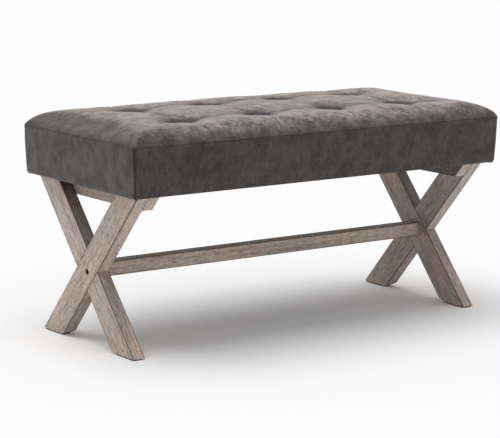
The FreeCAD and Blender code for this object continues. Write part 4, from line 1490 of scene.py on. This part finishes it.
            faces += [tuple(merged[k] for k in face[::-1]) for face in grid_faces(rows, columns)]
        layer = add_piece(name, np.concatenate(verts), faces)
        if wall:
            solid = layer.modifiers.new("layer", "SOLIDIFY")
            solid.thickness = wall
            solid.offset = -1.0
        finish_piece(layer, material, slot, node)

    def buttons(self) -> None:
        """Covered buttons at the bottom of the tufts, gathered under their rims."""
        profile = ((0.0, 1.0), (0.25, 0.97), (0.5, 0.88), (0.72, 0.72), (0.9, 0.46), (1.0, 0.22),
                   (0.97, 0.08), (0.84, 0.0), (0.4, 0.0), (0.0, 0.0))
        around = 36
        starts = [0]
        for out, _ in profile:
            starts.append(starts[-1] + (around if out else 1))
        faces = []
        for ring in range(len(profile) - 1):
            a, b = starts[ring], starts[ring + 1]
            for step in range(around):
                after = (step + 1) % around
                if not profile[ring][0]:
                    faces.append((a, b + step, b + after))
                elif not profile[ring + 1][0]:
                    faces.append((a + step, b, a + after))
                else:
                    faces.append((a + step, b + step, b + after, a + after))
        for number in range(1, 9):
            node = "tuft_button_" + str(number)
            low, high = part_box(node)
            centre = (low + high) / 2
            radius = (high.x - low.x) / 2
            verts = []
            for out, up in profile:
                for step in range(around if out else 1):
                    angle = TURN * step / around
                    gather = 1 + 0.02 * math.cos(12 * angle + number) * (out > 0.8)
                    reach = radius * out * gather / 1.02
                    verts.append((centre.x + reach * math.cos(angle),
                                  centre.y + reach * math.sin(angle),
                                  low.z + (high.z - low.z) * up))
            verts = np.array(verts)
            button = add_piece("covered_button_" + str(number), verts, faces)
            share = (verts[:, 2] - low.z) / (high.z - low.z)
            # The relief rises from foot to top, so each button is painted darker towards its foot.
            paint(button, "relief", share * 0.9 - 0.5)
            paint(button, "wear_and_light_share", np.full(len(verts), self.rubbing.button))
            finish_piece(button, self.finishes.leather, "button_cloth", node)

    def stitches(self) -> None:
        """Thread that shows in the grooves of the seams."""
        shape = self.shape
        reach = shape.corner_radius
        points = []
        for cx, cy, first in ((1, -1, -90), (1, 1, 0), (-1, 1, 90), (-1, -1, 180)):
            for angle in np.radians(np.linspace(first, first + 90, 7)):
                x = cx * (shape.half_length - reach) + (reach - self.thread_inset) * np.cos(angle)
                y = cy * (shape.half_depth - reach) + (reach - self.thread_inset) * np.sin(angle)
                points.append((x, y, shape.seam + float(shape.seam_wave(x, y))))
        edges = [(index, (index + 1) % len(points)) for index in range(len(points))]
        corner = reach * (1 - math.sqrt(0.5)) + self.thread_inset
        drawn = shape.draw_in * math.sqrt(0.5)
        for cx in (-1, 1):
            for cy in (-1, 1):
                x, y = cx * (shape.half_length - corner), cy * (shape.half_depth - corner)
                edges.append((len(points), len(points) + 1))
                points += [(x, y, shape.seam - 0.002),
                           (x - cx * drawn, y - cy * drawn, shape.foot + shape.bottom_radius)]
        guide = add_piece("seam_guide", np.zeros((0, 3)), [])
        guide.data.from_pydata(points, edges, [])
        pattern = stitch_pattern(*self.stitch)
        stitches = pattern.make("seam_stitches", guide, self.finishes.thread)
        finish_piece(stitches, self.finishes.thread, "upholstery")

    def twines(self) -> None:
        """Twines that hold the buttons down to the anchors under the deck."""
        low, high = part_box("tuft_twines")
        foot = low.z + self.knot
        points = [(cx, cy, foot) for cx in self.shape.tuft_x for cy in self.shape.tuft_y]
        guide = add_piece("twine_guide", np.array(points), [])
        pattern = twine_pattern(high.z - foot, self.twine_radius, self.twine_pitch, self.knot)
        twines = pattern.make("twisted_tuft_twines", guide, self.finishes.twine)
        finish_piece(twines, self.finishes.twine, "twine", "tuft_twines")


@dataclass
class Underside:
    """Dust cover, the staples that hold it and the cover's hem, and the felt foot pads."""

    finishes: Finishes
    cloth_half: tuple = (0.440, 0.190)
    cloth_flat: tuple = (0.880, 0.380)
    cloth_thickness: float = 0.0004
    cloth_step: float = 0.008
    sag: float = 0.0017
    rail_line: float = 0.379
    centre_line: float = 0.010
    held_line: float = 0.176
    bolt_x: float = 0.3918
    bolt_y: float = 0.060
    bolt_clear: float = 0.0055
    staple_crown: float = 0.010
    staple_leg: float = 0.0094
    staple_width: float = 0.0012
    staple_thickness: float = 0.0006
    staple_bend: float = 0.0008
    staple_slip: float = 0.05
    pad_radius: float = 0.003
    pad_levels: tuple = ((0.0006, 0.0), (0.0001, 0.12), (-0.0002, 0.45), (0.0, 0.8), (0.0007, 1.0))

    def build(self) -> None:
        """Make every piece of the underside."""
        self.cloth()
        self.staples("dust_cover_staples", 0.436, 0.186, 0.026, 0.088, 17)
        self.staples("cover_staples", 0.431, 0.181, 0.036, 0.062, 29)
        for edge in ("front", "back"):
            for side in ("left", "right"):
                self.pad(edge + "_" + side)

    def cloth(self) -> None:
        """Thin cloth that hangs a little between the rails it is stapled to."""
        half_x, half_y = self.cloth_half
        low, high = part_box("dust_cover")
        across = round(2 * half_x / self.cloth_step) + 1
        deep = round(2 * half_y / self.cloth_step) + 1
        x, y = np.meshgrid(np.linspace(-half_x, half_x, across), np.linspace(-half_y, half_y, deep),
                           indexing="ij")
        span = (np.clip(np.abs(x), self.centre_line, self.rail_line) - self.centre_line)
        span = span / (self.rail_line - self.centre_line)
        held = np.clip(np.abs(y) / self.held_line, 0, 1)
        hang = 4 * span * (1 - span) * (1 - held ** 2)
        pull = 0.0003 * ripple(x, y, 0.06, 41)
        pull = pull * np.clip((1 - held) * 6, 0, 1) * (span * (1 - span) > 0)
        z = (low.z + high.z) / 2 + self.cloth_thickness / 2 - self.sag * hang - np.abs(pull)
        places = [Vector((sx * self.bolt_x, sy * self.bolt_y)) for sx in (-1, 1) for sy in (-1, 1)]
        points = np.stack([x, y, z], axis=-1).reshape(-1, 3)
        faces = []
        for face in grid_faces(across, deep):
            middle = Vector(points[list(face)].mean(axis=0)).to_2d()
            if all((middle - place).length > self.bolt_clear for place in places):
                faces.append(face)
        sheet = add_piece("dust_cover_cloth", points, faces)
        solid = sheet.modifiers.new("cloth", "SOLIDIFY")
        solid.thickness = self.cloth_thickness
        solid.offset = -1.0
        finish_piece(sheet, self.finishes.dust_cloth, "dust_cloth", "dust_cover")

    def staples(self, node: str, line_x: float, line_y: float, clear: float, pitch: float,
                seed: int) -> None:
        """A ring of staples round the underside.

        Args:
            node: the CAD node that they stand for.
            line_x, line_y: distance of the ring from the middle planes.
            clear: free length at each corner.
            pitch: largest distance from staple to staple.
            seed: fixes their small slips.
        """
        low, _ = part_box(node)
        points, headings = [], []
        rows = ((line_x - clear, line_y, True), (line_y - clear, line_x, False))
        for sign in (-1, 1):
            for half, other, along_x in rows:
                count = math.ceil(2 * half / pitch) + 1
                for place in np.linspace(-half, half, count):
                    points.append((place, sign * other) if along_x else (sign * other, place))
                    headings.append(0.0 if along_x else math.pi / 2)
        height = low.z + self.staple_thickness / 2
        guide = add_piece(node + "_guide", np.array([(x, y, height) for x, y in points]), [])
        paint(guide, "heading", np.array(headings))
        pattern = staple_pattern(self.staple_crown, self.staple_leg, self.staple_width,
                                 self.staple_thickness, self.staple_bend, self.staple_slip, seed)
        ring = pattern.make(node + "_bent", guide, self.finishes.zinc)
        finish_piece(ring, self.finishes.zinc, "zinc_steel", node)

    def pad(self, place: str) -> None:
        """Felt pad under a foot, pressed out a little at its rim.

        Args:
            place: which foot.
        """
        node = "foot_pad_" + place
        low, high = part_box(node)
        centre, half = (low + high) / 2, (high - low) / 2
        radius = self.pad_radius
        turns = np.linspace(0, math.pi / 2, 7)
        verts, faces = [], []
        for inset, share in self.pad_levels:
            for quarter, (sx, sy) in enumerate(((1, 1), (-1, 1), (-1, -1), (1, -1))):
                for turn in turns:
                    angle = turn + quarter * math.pi / 2
                    fray = 0.00012 * math.sin(31 * angle + 57 * share + len(place))
                    reach = radius - inset + fray
                    verts.append((centre.x + sx * (half.x - radius) + reach * math.cos(angle),
                                  centre.y + sy * (half.y - radius) + reach * math.sin(angle),
                                  low.z + (high.z - low.z) * share))
        size = 4 * len(turns)
        rings = [list(range(first, first + size)) for first in range(0, len(verts), size)]
        for lower, upper in zip(rings, rings[1:]):
            for k in range(size):
                after = (k + 1) % size
                faces.append((lower[k], lower[after], upper[after], upper[k]))
        faces += [tuple(rings[0][::-1]), tuple(rings[-1])]
        pad = add_piece("felt_" + node, np.array(verts), faces, False)
        finish_piece(pad, self.finishes.felt, "felt", node)


# Crossed legs, top rails and stretcher


@dataclass
class Bar:
    """A wooden bar copied from its CAD node, with eased edges, its grain marked on it and painted
    shade on its faces.
    """

    node: str
    along: Vector
    across: Vector
    half_width: float
    half_thickness: float
    seed: float
    ease: float = 0.0012
    shortest: float = 0.010
    # Painted shade: upward faces darken towards the seat, downward faces towards the floor, and
    # faces toward -X by their own amount.
    painted_shade: float = 0.0
    inward_shade: float = 0.0
    upper_heights: tuple = (0.02, 0.13, 0.18, 0.27)
    upper_shade: tuple = (0.0, 0.34, 0.40, 1.0)
    lower_heights: tuple = (0.0, 0.10, 0.16)
    lower_shade: tuple = (0.34, 0.30, 0.0)

    def build(self, material: bpy.types.Material) -> None:
        """Make the dressed bar.

        Args:
            material: its finish.
        """
        bm = bmesh.new()
        bm.from_mesh(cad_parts[self.node].data)
        bmesh.ops.remove_doubles(bm, verts=bm.verts, dist=0.000002)
        bmesh.ops.dissolve_limit(bm, angle_limit=math.radians(1.0), verts=bm.verts, edges=bm.edges)
        crisp = [e for e in bm.edges if len(e.link_faces) == 2 and e.calc_length() > self.shortest
                 and e.is_convex and e.calc_face_angle(0.0) > math.radians(20)]
        made = bmesh.ops.bevel(bm, geom=crisp, offset=self.ease, segments=3, profile=0.6,
                               affect="EDGES", clamp_overlap=True)
        eased = set(made["faces"])
        for face in bm.faces:
            face.smooth = face in eased
        mesh = bpy.data.meshes.new(self.node + "_dressed")
        bm.to_mesh(mesh)
        bm.free()
        piece = bpy.data.objects.new(self.node + "_dressed", mesh)
        bpy.context.scene.collection.objects.link(piece)
        low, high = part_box(self.node)
        centre = (low + high) / 2
        thick = self.along.cross(self.across)
        points = np.array([v.co - centre for v in mesh.vertices])
        grain = points @ np.array([self.along, self.across, thick]).T
        paint(piece, "grain", grain)
        section = np.tile([self.half_width, self.half_thickness, self.seed], (len(points), 1))
        paint(piece, "section", section)
        height = np.array([v.co.z for v in mesh.vertices])
        upward = np.sign(self.across.z) * grain[:, 1]
        on_top = upward > self.half_width - 0.0001
        below = upward < 0.0001 - self.half_width
        # Painted shade: upper faces darker near the seat, lower faces darker near the floor, faces
        # toward -X darkened by their own amount.
        painted_shade = self.painted_shade * np.interp(height, self.upper_heights, self.upper_shade) * on_top
        painted_shade += self.painted_shade * np.interp(height, self.lower_heights, self.lower_shade) * below
        inward = points[:, 0] < self.half_thickness * 0.01 - self.half_thickness
        painted_shade = np.maximum(painted_shade, self.inward_shade * inward)
        paint(piece, "painted_shade", painted_shade)
        finish_piece(piece, material, "washed_oak", self.node)


@dataclass
class CrossFrames:
    """Two X-shaped end frames, their top rails and the stretcher between them."""

    finishes: Finishes
    lean_deg: float = 41.003
    leg_half_width: float = 0.028
    leg_half_thickness: float = 0.01325
    rail_half_height: float = 0.015
    rail_half_thickness: float = 0.012
    stretcher_half_height: float = 0.0145
    stretcher_half_thickness: float = 0.014
    # Painted shade on the legs' upper faces under the seat and lower faces by the floor.
    leg_painted_shade: float = 0.95
    seed_step: float = 2.7
    # Painted shade on faces toward -X, most on the right frame, whose inner faces stand in the
    # seat's shade.
    leg_inward_shade: dict = field(default_factory=lambda: {"left": 0.0, "right": 0.32})
    rail_inward_shade: dict = field(default_factory=lambda: {"left": 0.14, "right": 0.85})

    def build(self) -> None:
        """Make every wooden bar of the base."""
        lean = math.radians(self.lean_deg)
        up = Vector((0, 0, 1))
        seed = 3.1
        bars = []
        for side in ("left", "right"):
            for foot, sign in (("front", -1), ("back", 1)):
                along = Vector((0, -sign * math.sin(lean), math.cos(lean)))
                across = Vector((0, math.cos(lean), sign * math.sin(lean)))
                bars.append(Bar(side + "_" + foot + "_foot_leg", along, across,
                                self.leg_half_width, self.leg_half_thickness, seed,
                                painted_shade=self.leg_painted_shade, inward_shade=self.leg_inward_shade[side]))
                seed += self.seed_step
            bars.append(Bar(side + "_top_rail", Vector((0, 1, 0)), up, self.rail_half_height,
                            self.rail_half_thickness, seed, inward_shade=self.rail_inward_shade[side]))
            seed += self.seed_step
        bars.append(Bar("stretcher", Vector((1, 0, 0)), up, self.stretcher_half_height,
                        self.stretcher_half_thickness, seed, shortest=0.020))
        for bar in bars:
            bar.build(self.finishes.oak)


# Carried-over nodes


def dress_hidden_nodes(finishes: Finishes) -> None:
    """Give every CAD node that stays its own finish.

    Args:
        finishes: the bench's finishes.
    """
    blocks = ["corner_block_" + edge + "_" + side for edge in ("front", "back")
              for side in ("left", "right")]
    groups = (
        (finishes.plywood, ["seat_deck"]),
        (finishes.pine_along, ["seat_frame_front_rail", "seat_frame_back_rail", *blocks]),
        (finishes.pine_across, ["seat_frame_left_rail", "seat_frame_right_rail",
                                "seat_frame_centre_rail", "left_mounting_rail",
                                "right_mounting_rail"]),
        (finishes.beech, ["stretcher_dowels"]),
        (finishes.zinc, ["frame_screws", "deck_screws", "threaded_inserts", "barrel_nuts"]),
        (finishes.bronzed, ["leg_screws"]),
        (finishes.black, ["top_rail_bolts", "top_rail_washers", "stretcher_bolts",
                          "stretcher_washers"]),
        (finishes.plastic, ["tuft_anchors"]),
    )
    for material, nodes in groups:
        for node in nodes:
            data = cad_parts[node].data
            if not data.materials:
                data.materials.append(material)
            for index in range(len(data.materials)):
                data.materials[index] = material


# Studio


@dataclass
class Studio:
    """Pale floor, soft light and the camera of the photograph."""

    floor_size: float = 60.0
    floor_drop: float = 0.0004
    floor_colour: tuple = (253, 253, 253)
    ambient: float = 0.52
    key: float = 1.56
    key_heading: tuple = (0.17, -0.12, -1.0)
    key_spread_deg: float = 50.0
    eye: tuple = (-2.4397, -3.2678, 0.9287)
    yaw_deg: float = 36.29
    pitch_deg: float = -10.05
    roll_deg: float = 0.59
    focal_px: float = 2015.2
    frame_px: float = 500.0
    sensor_mm: float = 36.0

    def build(self) -> None:
        """Make the floor, the lights and the camera."""
        self.floor()
        self.world()
        self.lamps()
        self.camera()

    def floor(self) -> None:
        """Large pale floor."""
        half = self.floor_size / 2
        signs = ((-1, -1), (1, -1), (1, 1), (-1, 1))
        corners = [(sx * half, sy * half, -self.floor_drop) for sx, sy in signs]
        floor = add_piece("studio_floor", np.array(corners), [(0, 1, 2, 3)], False)
        graph = Graph("studio_floor_paint")
        graph.feed(graph.surface, Base_Color=linear(*self.floor_colour), Roughness=0.9,
                   Specular_IOR_Level=0.0)
        floor.data.materials.append(graph.material)

    def world(self) -> None:
        """White surroundings that light the bench softly."""
        world = bpy.data.worlds.new("studio_surroundings")
        bpy.context.scene.world = world
        world.use_nodes = True
        graph = Nodes(world.node_tree)
        path = graph.add("ShaderNodeLightPath")
        seen = path.outputs["Is Camera Ray"]
        for other in ("Is Glossy Ray", "Is Transmission Ray"):
            seen = graph.calc("MAXIMUM", seen, path.outputs[other])
        level = graph.feed(graph.add("ShaderNodeMapRange"), Value=seen, To_Min=self.ambient,
                           To_Max=1.0)
        graph.feed(graph.tree.nodes["Background"], Color=(1, 1, 1, 1), Strength=level.outputs[0])

    def lamps(self) -> None:
        """Broad soft key from above, a little from the left and behind."""
        lamp = bpy.data.lights.new("key_lamp", "SUN")
        lamp.energy = self.key
        lamp.angle = math.radians(self.key_spread_deg)
        holder = bpy.data.objects.new("key_lamp", lamp)
        holder.rotation_mode = "QUATERNION"
        holder.rotation_quaternion = Vector(self.key_heading).to_track_quat("-Z", "Y")
        bpy.context.scene.collection.objects.link(holder)

    def camera(self) -> None:
        """Camera fitted to the photograph."""
        yaw, pitch, roll = (math.radians(a) for a in (self.yaw_deg, self.pitch_deg, self.roll_deg))
        level = math.cos(pitch)
        ahead = Vector((math.sin(yaw) * level, math.cos(yaw) * level, math.sin(pitch)))
        right = ahead.cross(Vector((0, 0, 1))).normalized()
        up = right.cross(ahead)
        turned_right = math.cos(roll) * right + math.sin(roll) * up
        turned_up = math.cos(roll) * up - math.sin(roll) * right
        data = bpy.data.cameras.new("photo_camera")
        data.sensor_width = self.sensor_mm
        data.lens = self.focal_px * self.sensor_mm / self.frame_px
        data.clip_end = 200.0
        camera = bpy.data.objects.new("photo_camera", data)
        camera.matrix_world = Matrix.Translation(self.eye) @ Matrix(
            (turned_right, turned_up, -ahead)).transposed().to_4x4()
        bpy.context.scene.collection.objects.link(camera)
        bpy.context.scene.camera = camera
        bpy.context.scene.view_settings.view_transform = "Standard"


def main() -> None:
    """Build the bench's looks and the studio."""
    logging.basicConfig(level=logging.INFO, format="%(message)s")
    finishes = Finishes()
    Seat(finishes).build()
    Underside(finishes).build()
    CrossFrames(finishes).build()
    dress_hidden_nodes(finishes)
    Studio().build()


if __name__ == "__main__":
    main()
